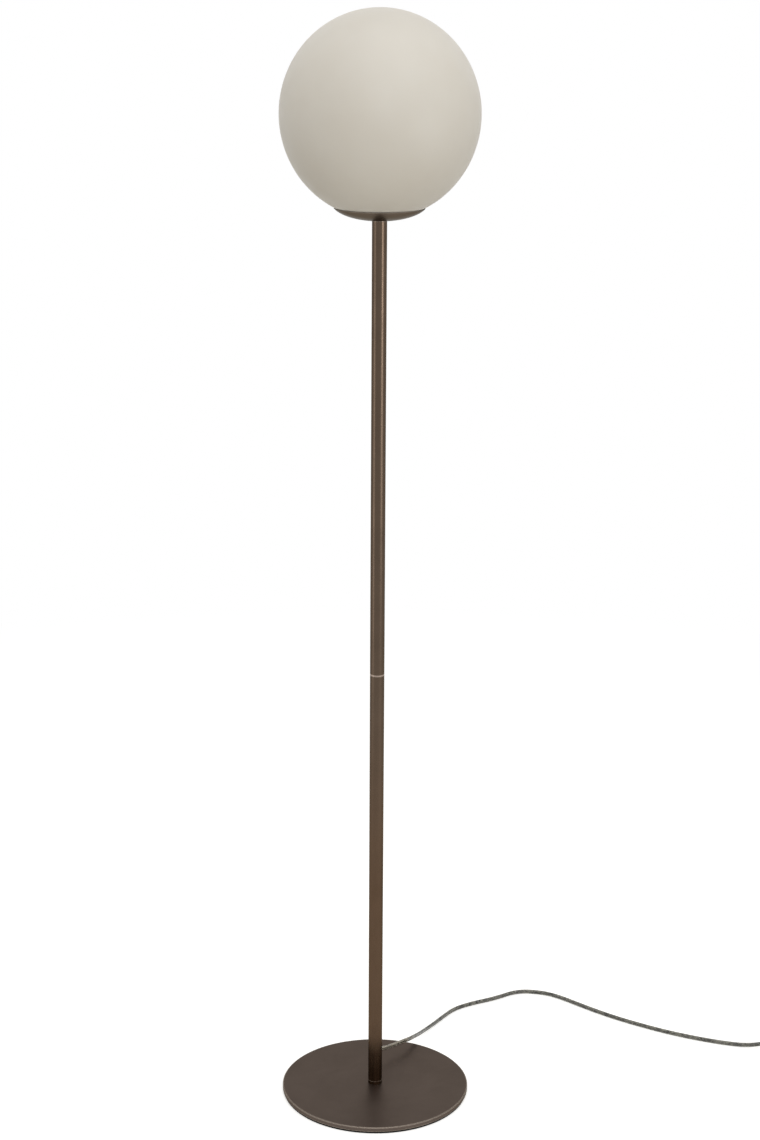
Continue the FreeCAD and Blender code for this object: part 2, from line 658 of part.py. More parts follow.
def strain_relief():
    """Clipped in the tube's back: a flange saddled on the tube, a neck, a lip inside, a tapered tail."""
    lip = "relief_lip_diameter / 2"
    neck = "cable_hole_diameter / 2 - relief_gap"
    lip_back = f"sqrt(pow({TUBE_IN}; 2) - pow({lip}; 2)) - slip_gap"
    flange_out = f"({TUBE_OUT} + relief_flange_out)"
    tail_end = f"{flange_out} + relief_long"
    outline = [
        (CABLE_BORE, f"{lip_back} - relief_lip_thick"),
        (lip, f"{lip_back} - relief_lip_thick"),
        (lip, lip_back),
        (neck, lip_back),
        (neck, flange_out),
        ("relief_root_diameter / 2", flange_out),
        ("relief_tip_diameter / 2", tail_end),
        (CABLE_BORE, tail_end),
    ]
    across = {"z": CABLE_HOLE, "turn": TOWARDS_Y}
    stem = turned("relief_stem", outline, **across)
    disc = cylinder("relief_disc", "relief_flange_diameter / 2", flange_out, **across)
    bore = cylinder("relief_bore", CABLE_BORE, flange_out, **across)
    tube = cylinder("relief_saddle", TUBE_OUT, "tube_diameter", z=f"{CABLE_HOLE} - {TUBE_OUT}")
    return fused("strain_relief", stem, cut("relief_flange", disc, tube, bore))


def inner_cable():
    """From the strain relief's tip to the pole's axis, and up the pole into the lampholder."""
    height = number(CABLE_HOLE)
    bend = number("cable_bend")
    inside_bend = bend * (1 - math.sqrt(1 / 2))
    start = FreeCAD.Vector(0, number(f"{TUBE_OUT} + relief_flange_out + relief_long"), height)
    bend_start = FreeCAD.Vector(0, bend, height)
    bend_middle = FreeCAD.Vector(0, inside_bend, height + inside_bend)
    bend_end = FreeCAD.Vector(0, 0, height + bend)
    edges = [
        Part.LineSegment(start, bend_start).toShape(),
        Part.Arc(bend_start, bend_middle, bend_end).toShape(),
        Part.LineSegment(bend_end, FreeCAD.Vector(0, 0, number(CABLE_TOP))).toShape(),
    ]
    return swept("inner_cable", edges, number("cable_diameter"))


# The dish and what holds the globe


def gallery_dish():
    outside = flattened_ball("dish_outside", DISH_OUT, "dish_deep", z=DISH_MIDDLE)
    inside = flattened_ball("dish_inside", DISH_IN, "dish_deep - dish_wall", z=DISH_MIDDLE)
    above = cylinder("dish_above_rim", "dish_diameter", "2 * dish_deep", z=DISH_RIM)
    shell = cut("dish_shell", outside, inside, above)
    land = cylinder("dish_land", "dish_land_diameter / 2", "dish_land_thick", z=DISH_FOOT)
    kept_land = common("dish_land_in_curve", land, outside)
    hole = cylinder("dish_hole", THREAD_BORE, "dish_deep", z=DISH_FOOT)
    return cut("gallery_dish", fused("dish_with_land", shell, kept_land), hole)


def globe_gasket():
    """Fills the space between the dish and the glass, and follows both."""
    inner = f"{OPENING} + gasket_start"
    band = ring("gasket_band", inner, f"{RIM_IN} - gasket_end", "dish_rim_high", z=DISH_FOOT)
    seat = flattened_ball("gasket_seat", DISH_IN, "dish_deep - dish_wall", z=DISH_MIDDLE)
    glass_radius = f"{GLOBE_OUT} + glass_gap"
    glass = flattened_ball("gasket_glass", glass_radius, "globe_half_high + glass_gap", z=GLOBE_MIDDLE)
    return cut("globe_gasket", common("gasket_in_dish", band, seat), glass)


def globe_spring():
    """A flat ring with arms that rise into the globe's opening and spring against its edge."""
    out = f"({OPENING} - glass_gap - spring_thick / 2)"
    rise = f"({OPENING_LOW} - spring_past - {SPRING_FOOT})"
    grip_end = f"({OPENING_HIGH} + spring_past - {SPRING_FOOT})"
    tip = f"{grip_end} + spring_tip_high"
    start = "(spring_ring_diameter / 2 - spring_thick)"
    plate_outline = [
        (THREAD_BORE, "0"),
        ("spring_ring_diameter / 2", "0"),
        ("spring_ring_diameter / 2", "spring_thick"),
        (THREAD_BORE, "spring_thick"),
    ]
    arm_outline = [
        (start, "0"),
        (out, rise),
        (out, grip_end),
        (f"{out} - spring_tip_in", tip),
        (f"{out} - spring_tip_in - spring_thick", tip),
        (f"{out} - spring_thick", grip_end),
        (f"{out} - spring_thick", f"{rise} + spring_thick"),
        (start, "spring_thick"),
    ]
    body = DOCUMENT.addObject("PartDesign::Body", "globe_spring")
    plate = revolved(body, "spring_ring", plate_outline)
    arm = body.newObject("PartDesign::Pad", "spring_arm")
    arm.Profile = outlined(body, "spring_arm_side", "XZ_Plane", arm_outline)
    arm.Midplane = True
    bind(arm, Length="spring_wide")
    around = body.newObject("PartDesign::PolarPattern", "spring_arms_around")
    around.Originals = [arm]
    around.Axis = (plate.Profile[0], ["V_Axis"])
    around.Angle = 360
    bind(around, Occurrences="spring_arms")
    body.Tip = around
    return place(body, z=SPRING_FOOT)


def lock_washer():
    return ring("lock_washer", THREAD_BORE, "lock_washer_diameter / 2", "lock_washer_thick", z=LOCK_FOOT)


def gallery_nut():
    blank = hexagon("gallery_nut_blank", "nut_across / sqrt(3)", "nut_high", z=NUT_FOOT)
    return cut("gallery_nut", blank, cylinder("gallery_nut_bore", THREAD_BORE, "nut_high", z=NUT_FOOT))


def gallery_nipple():
    foot = f"({DISH_FOOT} - nipple_engaged)"
    return ring("gallery_nipple", NIPPLE_IN, NIPPLE_OUT, f"{NIPPLE_TOP} - {foot}", z=foot)


def glass_globe():
    outside = flattened_ball("globe_outside", GLOBE_OUT, "globe_half_high", z=GLOBE_MIDDLE)
    inside = flattened_ball("globe_inside", GLOBE_IN, GLOBE_HALF_IN, z=GLOBE_MIDDLE)
    foot = f"{GLOBE_MIDDLE} - globe_half_high"
    opening = cylinder("globe_opening_cut", OPENING, "globe_half_high", z=foot)
    return cut("glass_globe", outside, inside, opening)


# The lampholder


def holder_cap():
    neck = "holder_neck_diameter / 2"
    ledge_in = f"{HOLDER_IN} - holder_ledge_wide"
    outline = [
        (THREAD_BORE, "0"),
        (neck, "0"),
        (neck, "holder_neck_high"),
        (HOLDER_OUT, "holder_shoulder_high"),
        (HOLDER_OUT, "holder_cap_high"),
        (HOLDER_IN, "holder_cap_high"),
        (HOLDER_IN, "holder_ledge_high"),
        (ledge_in, "holder_ledge_high"),
        (ledge_in, "holder_ledge_high - holder_ledge_thick"),
        (neck, "holder_neck_thread"),
        (THREAD_BORE, "holder_neck_thread"),
    ]
    return turned("holder_cap", outline, z=HOLDER_FOOT)


def holder_body():
    lip = f"{THREAD_CREST} + holder_lip_gap"
    outline = [
        (HOLDER_BODY_IN, "0"),
        (HOLDER_OUT, "0"),
        (HOLDER_OUT, "holder_body_high"),
        (lip, "holder_body_high"),
        (lip, "holder_body_high - holder_lip_thick"),
        (HOLDER_BODY_IN, "holder_body_high - holder_lip_thick"),
    ]
    return turned("holder_body", outline, z=HOLDER_BODY_FOOT)


def holder_insulator():
    """Rests on the cap's ledge and is held down by the body."""
    flange_out = f"{HOLDER_IN} - slip_gap"
    step_out = f"{HOLDER_BODY_IN} - slip_gap"
    flange_top = "holder_cap_high - holder_ledge_high"
    top = f"{flange_top} + insulator_step_high"
    outline = [
        ("0", "0"),
        (flange_out, "0"),
        (flange_out, flange_top),
        (step_out, flange_top),
        (step_out, top),
        ("0", top),
    ]
    blank = turned("insulator_blank", outline, z=LEDGE)
    bore = "terminal_diameter / 2 + thread_gap"
    holes = [
        cylinder(f"terminal_hole_{count}", bore, "terminal_long", x=f"{side} * terminal_apart / 2", z=LEDGE)
        for count, side in SIDES
    ]
    return cut("holder_insulator", blank, *holes)


def screw_shell():
    outside = f"{SHELL_BORE} + shell_wall"
    outline = [
        ("shell_foot_bore / 2", "0"),
        (outside, "0"),
        (outside, "shell_high"),
        (SHELL_BORE, "shell_high"),
        (SHELL_BORE, "shell_wall"),
        ("shell_foot_bore / 2", "shell_wall"),
    ]
    return turned("screw_shell", outline, z=SHELL_FOOT)


def centre_contact():
    foot = "contact_foot_diameter / 2"
    button = "contact_diameter / 2"
    outline = [
        ("0", "0"),
        (foot, "0"),
        (foot, "contact_foot_thick"),
        (button, "contact_foot_thick"),
        (button, "contact_high"),
        ("0", "contact_high"),
    ]
    return turned("centre_contact", outline, z=SHELL_FOOT)


def terminal_screws():
    head = "terminal_head_diameter / 2"
    thread = "terminal_diameter / 2"
    end = "terminal_head_high + terminal_long"
    outline = [
        ("0", "0"),
        (head, "0"),
        (head, "terminal_head_high"),
        (thread, "terminal_head_high"),
        (thread, end),
        ("0", end),
    ]
    return group(
        "terminal_screws",
        [
            turned(f"terminal_screw_{count}", outline, x=f"{side} * terminal_apart / 2", z=TERMINAL_FOOT)
            for count, side in SIDES
        ],
    )


def holder_leads():
    """The cable's two wires, each up, outwards and up to its terminal screw."""
    low = number(CABLE_TOP)
    high = number(TERMINAL_FOOT)
    between = (low + high) / 2
    leads = []
    for count, side in SIDES:
        inner = number(f"{side} * lead_apart / 2")
        outer = number(f"{side} * terminal_apart / 2")
        route = [(inner, 0, low), (inner, 0, between), (outer, 0, between), (outer, 0, high)]
        leads.append(tube_along(f"holder_lead_{count}", route, number("lead_diameter")))
    return group("holder_leads", leads)


# The bulb


def bulb_contact():
    tip = "bulb_tip_diameter / 2"
    widest = "bulb_insulator_diameter / 2"
    outline = [
        ("0", "0"),
        (tip, "0"),
        (tip, "bulb_tip_thick"),
        (widest, "bulb_cap_foot"),
        (widest, "bulb_insulator_high"),
        ("0", "bulb_insulator_high"),
    ]
    return turned("bulb_contact", outline, z=BULB_FOOT)


def bulb_cap():
    """The screwed cap, its thread drawn as rings of the thread's pitch and depth."""
    mouth = "bulb_insulator_diameter / 2 + slip_gap"
    outline = [
        (CAP_BORE, "bulb_cap_high"),
        (CAP_BORE, "bulb_thread_start"),
        (mouth, "bulb_insulator_high"),
        (mouth, "bulb_cap_foot"),
        (f"{mouth} + bulb_cap_wall", "bulb_cap_foot"),
        (THREAD_ROOT, "bulb_thread_start"),
    ]
    for turn in range(int(number("bulb_thread_turns"))):
        outline += [
            (THREAD_CREST, f"bulb_thread_start + ({turn} + 1 / 2) * bulb_thread_pitch"),
            (THREAD_ROOT, f"bulb_thread_start + ({turn} + 1) * bulb_thread_pitch"),
        ]
    outline.append((THREAD_ROOT, "bulb_cap_high"))
    return turned("bulb_cap", outline, z=BULB_FOOT)


def bulb_housing():
    waist = "bulb_housing_waist / 2"
    outline = [
        (CAP_BORE, "0"),
        ("bulb_housing_foot / 2", "0"),
        (waist, "bulb_housing_waist_high"),
        (DOME_RIM, "bulb_housing_high"),
        (f"{DOME_RIM} - bulb_wall", "bulb_housing_high"),
        (f"{waist} - bulb_wall", "bulb_housing_waist_high"),
        (CAP_BORE, "bulb_wall"),
    ]
    return turned("bulb_housing", outline, z=HOUSING_FOOT)


def bulb_dome():
    """The upper part of a hollow ball, whose rim meets the housing's."""
    middle = f"{DOME_FOOT} + bulb_dome_drop"
    outside = ball("dome_outside", "bulb_diameter / 2", z=middle)
    inside = ball("dome_inside", "bulb_diameter / 2 - bulb_wall", z=middle)
    above = cylinder("dome_above_housing", "bulb_diameter", "bulb_diameter", z=DOME_FOOT)
    return common("bulb_dome", cut("dome_shell", outside, inside), above)


# The foot switch


def in_switch(z="0", **more):
    """The switch's middle, at a height."""
    return {"x": "switch_x", "y": "switch_y", "z": z, **more}


def at_screw(side, z="0"):
    """The place of one of the switch's two screws, which stand in opposite corners."""
    x = f"switch_x + {side} * switch_screws_apart / 2"
    y = f"switch_y + {side} * switch_screws_across / 2"
    return {"x": x, "y": y, "z": z}


def screw_holes(name, radius, height, foot):
    """A cylinder on the axis of each of the switch's screws."""
    return [cylinder(f"{name}_{count}", radius, height, **at_screw(side, foot)) for count, side in SIDES]


def hollowed(name, case, foot, height):
    """A half of the switch's case, hollowed between two heights and bored for the reliefs' necks."""
    inner_long = "switch_long - 2 * switch_wall"
    inner_wide = "switch_wide - 2 * switch_wall"
    corners = (is_upright, "switch_corner - switch_wall")
    inside = block(f"{name}_inside", oblong(inner_long, inner_wide), height, [corners], **in_switch(foot))
    neck = "switch_neck_diameter / 2 + slip_gap"
    start = {"x": f"switch_x - {SWITCH_END}", "y": "switch_y", "z": SWITCH_SPLIT, "turn": TOWARDS_X}
    return cut(f"{name}_tray", case, inside, cylinder(f"{name}_necks", neck, "switch_long", **start))


def switch_base():
    corners = (is_upright, "switch_corner")
    case = block("base_case", oblong("switch_long", "switch_wide"), SWITCH_SPLIT, [corners], **in_switch())
    tray = hollowed("base", case, SWITCH_FLOOR, SWITCH_SPLIT)
    posts = screw_holes("base_post", BOSS_OUT, SWITCH_SPLIT, "0")
    bores = screw_holes("base_bore", "switch_screw_diameter / 2 + switch_screw_gap", SWITCH_SPLIT, "0")
    heads = screw_holes(
        "base_head_hole", "switch_screw_head_diameter / 2 + switch_screw_gap", SCREW_SEAT, "0"
    )
    return cut("switch_base", fused("base_with_posts", tray, *posts), *bores, *heads)


def switch_cover():
    corners = (is_upright, "switch_corner")
    top = (is_level_at(number("switch_cover_high")), "switch_edge")
    outline = oblong("switch_long", "switch_wide")
    case = block("cover_case", outline, "switch_cover_high", [corners, top], **in_switch(SWITCH_SPLIT))
    tray = hollowed("cover", case, "0", SWITCH_ROOF)
    posts = screw_holes("cover_post", BOSS_OUT, f"{SWITCH_ROOF} - {SWITCH_SPLIT}", SWITCH_SPLIT)
    bores = screw_holes(
        "cover_bore",
        "switch_screw_diameter / 2 + thread_gap",
        f"{SCREW_SEAT} + switch_screw_long - {SWITCH_SPLIT}",
        SWITCH_SPLIT,
    )
    hole = cylinder("button_hole", "button_diameter / 2 + button_gap", SWITCH_TOP, **in_switch())
    return cut("switch_cover", fused("cover_with_posts", tray, *posts), hole, *bores)


def switch_button():
    flange = "button_diameter / 2 + button_flange_wide"
    side = "button_diameter / 2"
    recess = "button_spring_diameter / 2 + button_recess_gap"
    top = f"{BUTTON_TOP} - {BUTTON_FOOT}"
    outline = [
        ("0", f"{top} - button_roof"),
        (recess, f"{top} - button_roof"),
        (recess, "0"),
        (flange, "0"),
        (flange, "button_flange_thick"),
        (side, "button_flange_thick"),
        (side, f"{top} - button_edge"),
        (f"{side} - button_edge", top),
        ("0", top),
    ]
    return turned("switch_button", outline, **in_switch(BUTTON_FOOT))


def button_spring():
    """A coil spring of round wire between the contact block and the button."""
    wire = "button_spring_wire / 2"
    middle = f"button_spring_diameter / 2 - {wire}"
    body = DOCUMENT.addObject("PartDesign::Body", "button_spring")
    sketch = sketch_on(body, "button_spring_section", "XZ_Plane")
    centre = FreeCAD.Vector(number(middle), number(wire), 0)
    sketch.addGeometry(Part.Circle(centre, FreeCAD.Vector(0, 0, 1), number(wire)), False)
    constrain(sketch, middle, "DistanceX", -1, 1, 0, 3)
    constrain(sketch, wire, "DistanceY", -1, 1, 0, 3)
    constrain(sketch, wire, "Radius", 0)
    helix = body.newObject("PartDesign::AdditiveHelix", "button_spring_helix")
    helix.Profile = sketch
    helix.ReferenceAxis = (sketch, ["V_Axis"])
    helix.Mode = "height-turns-angle"
    height = f"{BUTTON_TOP} - button_roof - {BLOCK_TOP} - button_spring_wire"
    bind(helix, Height=height, Turns="button_spring_turns")
    body.Tip = helix
    return place(body, **in_switch(BLOCK_TOP))


def switch_screws():
    head = "switch_screw_head_diameter / 2"
    shank = "switch_screw_diameter / 2"
    end = "switch_screw_head_high + switch_screw_long"
    outline = [
        ("0", "0"),
        (head, "0"),
        (head, "switch_screw_head_high"),
        (shank, "switch_screw_head_high"),
        (shank, end),
        ("0", end),
    ]
    return group(
        "switch_screws",
        [turned(f"switch_screw_{count}", outline, **at_screw(side, "floor_clear")) for count, side in SIDES],
    )


def switch_block():
    return block("switch_block", oblong("block_long", "block_wide"), "block_high", **in_switch(SWITCH_FLOOR))


def switch_contacts():
    leaf = oblong("leaf_long", "leaf_wide")
    leaves = []
    for count, side in SIDES:
        where = {"x": f"switch_x + {side} * leaf_apart / 2", "y": "switch_y", "z": BLOCK_TOP}
        leaves.append(block(f"switch_contact_{count}", leaf, "leaf_thick", **where))
    return group("switch_contacts", leaves)


def switch_cables():
    """The cable's ends, from the contact block to each relief's tip."""
    start = "block_long / 2"
    long = f"{SWITCH_END} + switch_relief_long - {start}"
    ends = []
    for (count, side), turn in zip(SIDES, (TOWARDS_X, AWAY_FROM_X)):
        where = {"x": f"switch_x + {side} * {start}", "y": "switch_y", "z": SWITCH_SPLIT, "turn": turn}
        ends.append(cylinder(f"switch_cable_{count}", "cable_diameter / 2", long, **where))
    return group("switch_cables", ends)


def switch_reliefs():
    """One at each end: a flange and a neck held in the case's wall, and a tapered tail."""
    flange = "switch_flange_diameter / 2"
    neck = "switch_neck_diameter / 2"
    wall_in = f"({SWITCH_END} - switch_wall - slip_gap)"
    tail_end = f"{SWITCH_END} + switch_relief_long"
    outline = [
        (CABLE_BORE, f"{wall_in} - switch_flange_thick"),
        (flange, f"{wall_in} - switch_flange_thick"),
        (flange, wall_in),
        (neck, wall_in),
        (neck, SWITCH_END),
        ("relief_root_diameter / 2", SWITCH_END),
        ("relief_tip_diameter / 2", tail_end),
        (CABLE_BORE, tail_end),
    ]
    return group(
        "switch_reliefs",
        [
            turned(f"switch_relief_{count}", outline, **in_switch(SWITCH_SPLIT, turn=turn))
            for count, turn in enumerate((TOWARDS_X, AWAY_FROM_X), start=1)
        ],
    )


# The lead and its plug


def cord(name, points):
    return tube_along(name, points, number("cord_diameter"))


def cord_coil():
    """The coil's bundle as one ring of its outer shape."""
    edge = "coil_edge"
    outline = [
        (f"{COIL_IN} + {edge}", "0"),
        (f"{COIL_OUT} - {edge}", "0"),
        (COIL_OUT, edge),
        (COIL_OUT, f"{COIL_HIGH} - {edge}"),
        (f"{COIL_OUT} - {edge}", COIL_HIGH),
        (f"{COIL_IN} + {edge}", COIL_HIGH),
        (COIL_IN, f"{COIL_HIGH} - {edge}"),
        (COIL_IN, edge),
    ]
    return turned("cord_coil", outline, x="coil_x", y="coil_y", z=COIL_FOOT)


def cord_tie():
    """A strap wrapped once round the coil's bundle."""
    skin = "(tie_gap + tie_thick)"
    angle = f"tie_wide / (({COIL_IN} + {COIL_OUT}) / 2) * 180 / pi"
    round_coil = FreeCAD.Rotation(number("tie_turn"), 0, 0)
    outer = ring(
        "tie_outside",
        f"{COIL_IN} - {skin}",
        f"{COIL_OUT} + {skin}",
        f"{COIL_HIGH} + 2 * {skin}",
        angle=angle,
        x="coil_x",
        y="coil_y",
        z="tie_clear",
        turn=round_coil,
    )
    inner = ring(
        "tie_inside",
        f"{COIL_IN} - tie_gap",
        f"{COIL_OUT} + tie_gap",
        f"{COIL_HIGH} + 2 * tie_gap",
        x="coil_x",
        y="coil_y",
        z=f"{COIL_FOOT} - tie_gap",
    )
    return cut("cord_tie", outer, inner)


def at_pin(side, y):
    return {"x": f"plug_x + {side} * pin_apart / 2", "y": y, "z": "plug_middle_high", "turn": TOWARDS_Y}


def plug_body():
    half = "plug_wide / 2"
    back = "plug_back_wide / 2"
    front = "plug_front_wide / 2"
    outline = [
        (f"-{back}", "0"),
        (back, "0"),
        (half, "plug_shoulder"),
        (half, "plug_long - plug_front_taper"),
        (front, "plug_long"),
        (f"-{front}", "plug_long"),
        (f"-{half}", "plug_long - plug_front_taper"),
        (f"-{half}", "plug_shoulder"),
    ]
    top = (is_level_at(number("plug_thick")), "plug_edge")
    foot = (is_level_at(0), "plug_edge")
    where = {"x": "plug_x", "y": PLUG_BACK, "z": "plug_middle_high - plug_thick / 2"}
    solid = block("plug_blank", outline, "plug_thick", [top, foot], **where)
    hole = "pin_root_diameter / 2 + slip_gap"
    holes = [
        cylinder(f"pin_hole_{count}", hole, "pin_rooted", **at_pin(side, f"{PLUG_FACE} - pin_rooted"))
        for count, side in SIDES
    ]
    return cut("plug_body", solid, *holes)


def plug_pins():
    """Each pin with its slimmer root in the plug, its shoulder on the plug's face and a chamfered tip."""
    root = "pin_root_diameter / 2"
    pin = "pin_diameter / 2"
    tip = "pin_rooted + pin_long"
    outline = [
        ("0", "0"),
        (root, "0"),
        (root, "pin_rooted"),
        (pin, "pin_rooted"),
        (pin, f"{tip} - pin_tip"),
        (f"{pin} - pin_tip", tip),
        ("0", tip),
    ]
    where = f"{PLUG_FACE} - pin_rooted"
    return group(
        "plug_pins",
        [turned(f"plug_pin_{count}", outline, **at_pin(side, where)) for count, side in SIDES],
    )


def plug_relief():
    item = DOCUMENT.addObject("Part::Cone", "plug_relief")
    bind(item, Radius1="relief_tip_diameter / 2", Radius2="relief_root_diameter / 2")
    bind(item, Height="plug_relief_long")
    return place(item, x="plug_x", y="plug_y", z="plug_middle_high", turn=TOWARDS_Y)


PIECES = [
    floor_pad(),
    base_plate(),
    base_washer(),
    base_screw(),
    foot_ring(),
    tube_plug(),
    lower_tube(),
    upper_tube(),
    tube_inserts(),
    joint_ring(),
    joint_nipple(),
    strain_relief(),
    inner_cable(),
    gallery_dish(),
    globe_gasket(),
    globe_spring(),
    lock_washer(),
    gallery_nut(),
    gallery_nipple(),
    glass_globe(),
    holder_cap(),
    holder_body(),
    holder_insulator(),
    screw_shell(),
    centre_contact(),
    terminal_screws(),
    holder_leads(),
    bulb_contact(),
    bulb_cap(),
    bulb_housing(),
    bulb_dome(),
    cord("cord_lamp_to_switch", LAMP_TO_SWITCH),
    switch_base(),
    switch_cover(),
    switch_button(),
    button_spring(),
    switch_screws(),
    switch_block(),
    switch_contacts(),
    switch_cables(),
    switch_reliefs(),
    cord("cord_switch_to_coil", SWITCH_TO_COIL),
    cord_coil(),
    cord_tie(),
    cord("cord_coil_to_plug", COIL_TO_PLUG),
    plug_body(),
    plug_pins(),
    plug_relief(),
]
DOCUMENT.recompute()

for item in DOCUMENT.Objects:
    if {"Invalid", "Error"} & set(item.State):
        raise RuntimeError(f"{item.Label} failed: {item.State}")
for piece in PIECES:
    if piece.Shape.isNull() or not piece.Shape.isValid() or not piece.Shape.Solids:
        raise RuntimeError(f"{piece.Label} has no valid solid")
    print(f"{piece.Label}: {len(piece.Shape.Solids)} solid, {piece.Shape.Volume:.1f} mm3")

os.makedirs("parts", exist_ok=True)
for piece in PIECES:
    piece.Shape.exportStep(f"parts/{piece.Label}.step")
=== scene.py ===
"""Looks of the globe floor lamp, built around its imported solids.

Everything is in metres with +Z up. The pole stands on the Z axis and the floor is at z = 0.
"""

import math

import bmesh
import bpy
from mathutils import Matrix, Vector, noise


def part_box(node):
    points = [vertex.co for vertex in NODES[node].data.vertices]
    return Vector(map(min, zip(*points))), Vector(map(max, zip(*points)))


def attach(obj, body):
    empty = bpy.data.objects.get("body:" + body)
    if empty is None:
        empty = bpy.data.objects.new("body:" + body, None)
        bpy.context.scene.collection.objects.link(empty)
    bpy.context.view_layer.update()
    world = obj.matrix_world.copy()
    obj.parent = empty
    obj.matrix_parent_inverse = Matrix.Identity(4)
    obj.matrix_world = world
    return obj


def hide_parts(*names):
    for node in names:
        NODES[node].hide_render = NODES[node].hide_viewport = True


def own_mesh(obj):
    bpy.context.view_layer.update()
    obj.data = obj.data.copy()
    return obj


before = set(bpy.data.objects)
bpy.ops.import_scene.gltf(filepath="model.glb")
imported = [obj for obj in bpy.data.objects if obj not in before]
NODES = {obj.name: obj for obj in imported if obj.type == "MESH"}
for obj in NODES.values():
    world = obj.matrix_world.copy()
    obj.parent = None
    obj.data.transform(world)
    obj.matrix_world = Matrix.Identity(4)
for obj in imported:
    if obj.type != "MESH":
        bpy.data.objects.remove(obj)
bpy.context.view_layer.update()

STAND, GLOBE = "stand", "globe"


# ---------------------------------------------------------------- colours and materials

def srgb(red, green, blue):
    """A linear colour from 0-255 screen values."""
    out = []
    for value in (red, green, blue):
        value /= 255.0
        out.append(value / 12.92 if value <= 0.04045 else ((value + 0.055) / 1.055) ** 2.4)
    return tuple(out)


def scaled(colour, factor):
    """The colour made lighter or darker by that factor."""
    return tuple(min(1.0, channel * factor) for channel in colour)


# Where the black sleeves on the plug's pins end along Y, and half the width of the change to bare metal.
SLEEVE_END, SLEEVE_BLEND = 0.279, 0.0001
# Cosines between the flat and the rounded normal that count as a plain face and as a fully paled edge, partly
# abrasion and partly painted highlight.
UNPALED, FULLY_PALED = 0.995, 0.90
# The heights between which a painted reflection, a browner colour near the floor, blends into the finish's own
# colour.
BLEND_LOW, BLEND_HIGH = 0.30, 0.55
# The distances from the pole between which the strands turn from pale to dull.
PALE_TO, DULL_FROM = 0.10, 0.14


class Graph:
    """A material's node tree, written one node at a time."""

    def __init__(self, name):
        self.material = bpy.data.materials.new(name)
        self.material.use_nodes = True
        self.tree = self.material.node_tree
        self.tree.nodes.clear()
        self.output = self.tree.nodes.new("ShaderNodeOutputMaterial")
        self.place = self.tree.nodes.new("ShaderNodeTexCoord").outputs["Object"]

    def put(self, socket, value):
        if isinstance(value, bpy.types.NodeSocket):
            self.tree.links.new(value, socket)
        elif isinstance(value, tuple) and len(value) == 3 and socket.type == "RGBA":
            socket.default_value = (*value, 1.0)
        else:
            socket.default_value = value

    def node(self, kind, inputs=(), **settings):
        made = self.tree.nodes.new(kind)
        for name, value in settings.items():
            setattr(made, name, value)
        for name, value in dict(inputs).items():
            self.put(made.inputs[name], value)
        return made

    def stretched(self, scale):
        """Object coordinates, scaled by three factors."""
        return self.node("ShaderNodeMapping", {"Vector": self.place, "Scale": scale}).outputs[0]

    def noise(self, per_metre, detail=3.0, vector=None, roughness=0.55):
        """Smooth noise from 0 to 1, with about per_metre features in a metre."""
        return self.node("ShaderNodeTexNoise", {
            "Vector": vector or self.place, "Scale": per_metre, "Detail": detail,
            "Roughness": roughness}).outputs["Fac"]

    def ranged(self, value, low, high, out_low, out_high):
        return self.node("ShaderNodeMapRange", {
            "Value": value, "From Min": low, "From Max": high,
            "To Min": out_low, "To Max": out_high}).outputs["Result"]

    def mixed(self, factor, first, second):
        made = self.tree.nodes.new("ShaderNodeMix")
        made.data_type = "RGBA"
        for socket, value in ((made.inputs[0], factor), (made.inputs[6], first), (made.inputs[7], second)):
            self.put(socket, value)
        return made.outputs[2]

    def maths(self, operation, first, second=0.0):
        made = self.tree.nodes.new("ShaderNodeMath")
        made.operation = operation
        self.put(made.inputs[0], first)
        self.put(made.inputs[1], second)
        return made.outputs[0]

    def bump(self, height, depth, strength=1.0, under=None):
        """A bump of that depth in metres, over an earlier bump if one is given."""
        made = self.node("ShaderNodeBump", {"Height": height, "Distance": depth, "Strength": strength})
        if under is not None:
            self.put(made.inputs["Normal"], under)
        return made.outputs["Normal"]

    def rubbed_and_lit(self, reach, most):
        """From 0 to most within that reach of an edge, where a hand or a cloth rubs and where a painted edge
        highlight goes.
        """
        rounded = self.node("ShaderNodeBevel", {"Radius": reach}, samples=6).outputs[0]
        flat = self.node("ShaderNodeNewGeometry").outputs["Normal"]
        both = self.node("ShaderNodeVectorMath", {}, operation="DOT_PRODUCT")
        self.put(both.inputs[0], rounded)
        self.put(both.inputs[1], flat)
        return self.ranged(both.outputs["Value"], UNPALED, FULLY_PALED, 0.0, most)

    def principled(self, **sockets):
        shader = self.node("ShaderNodeBsdfPrincipled")
        for name, value in sockets.items():
            self.put(shader.inputs[name.replace("_", " ")], value)
        self.tree.links.new(shader.outputs[0], self.output.inputs["Surface"])
        return self.material


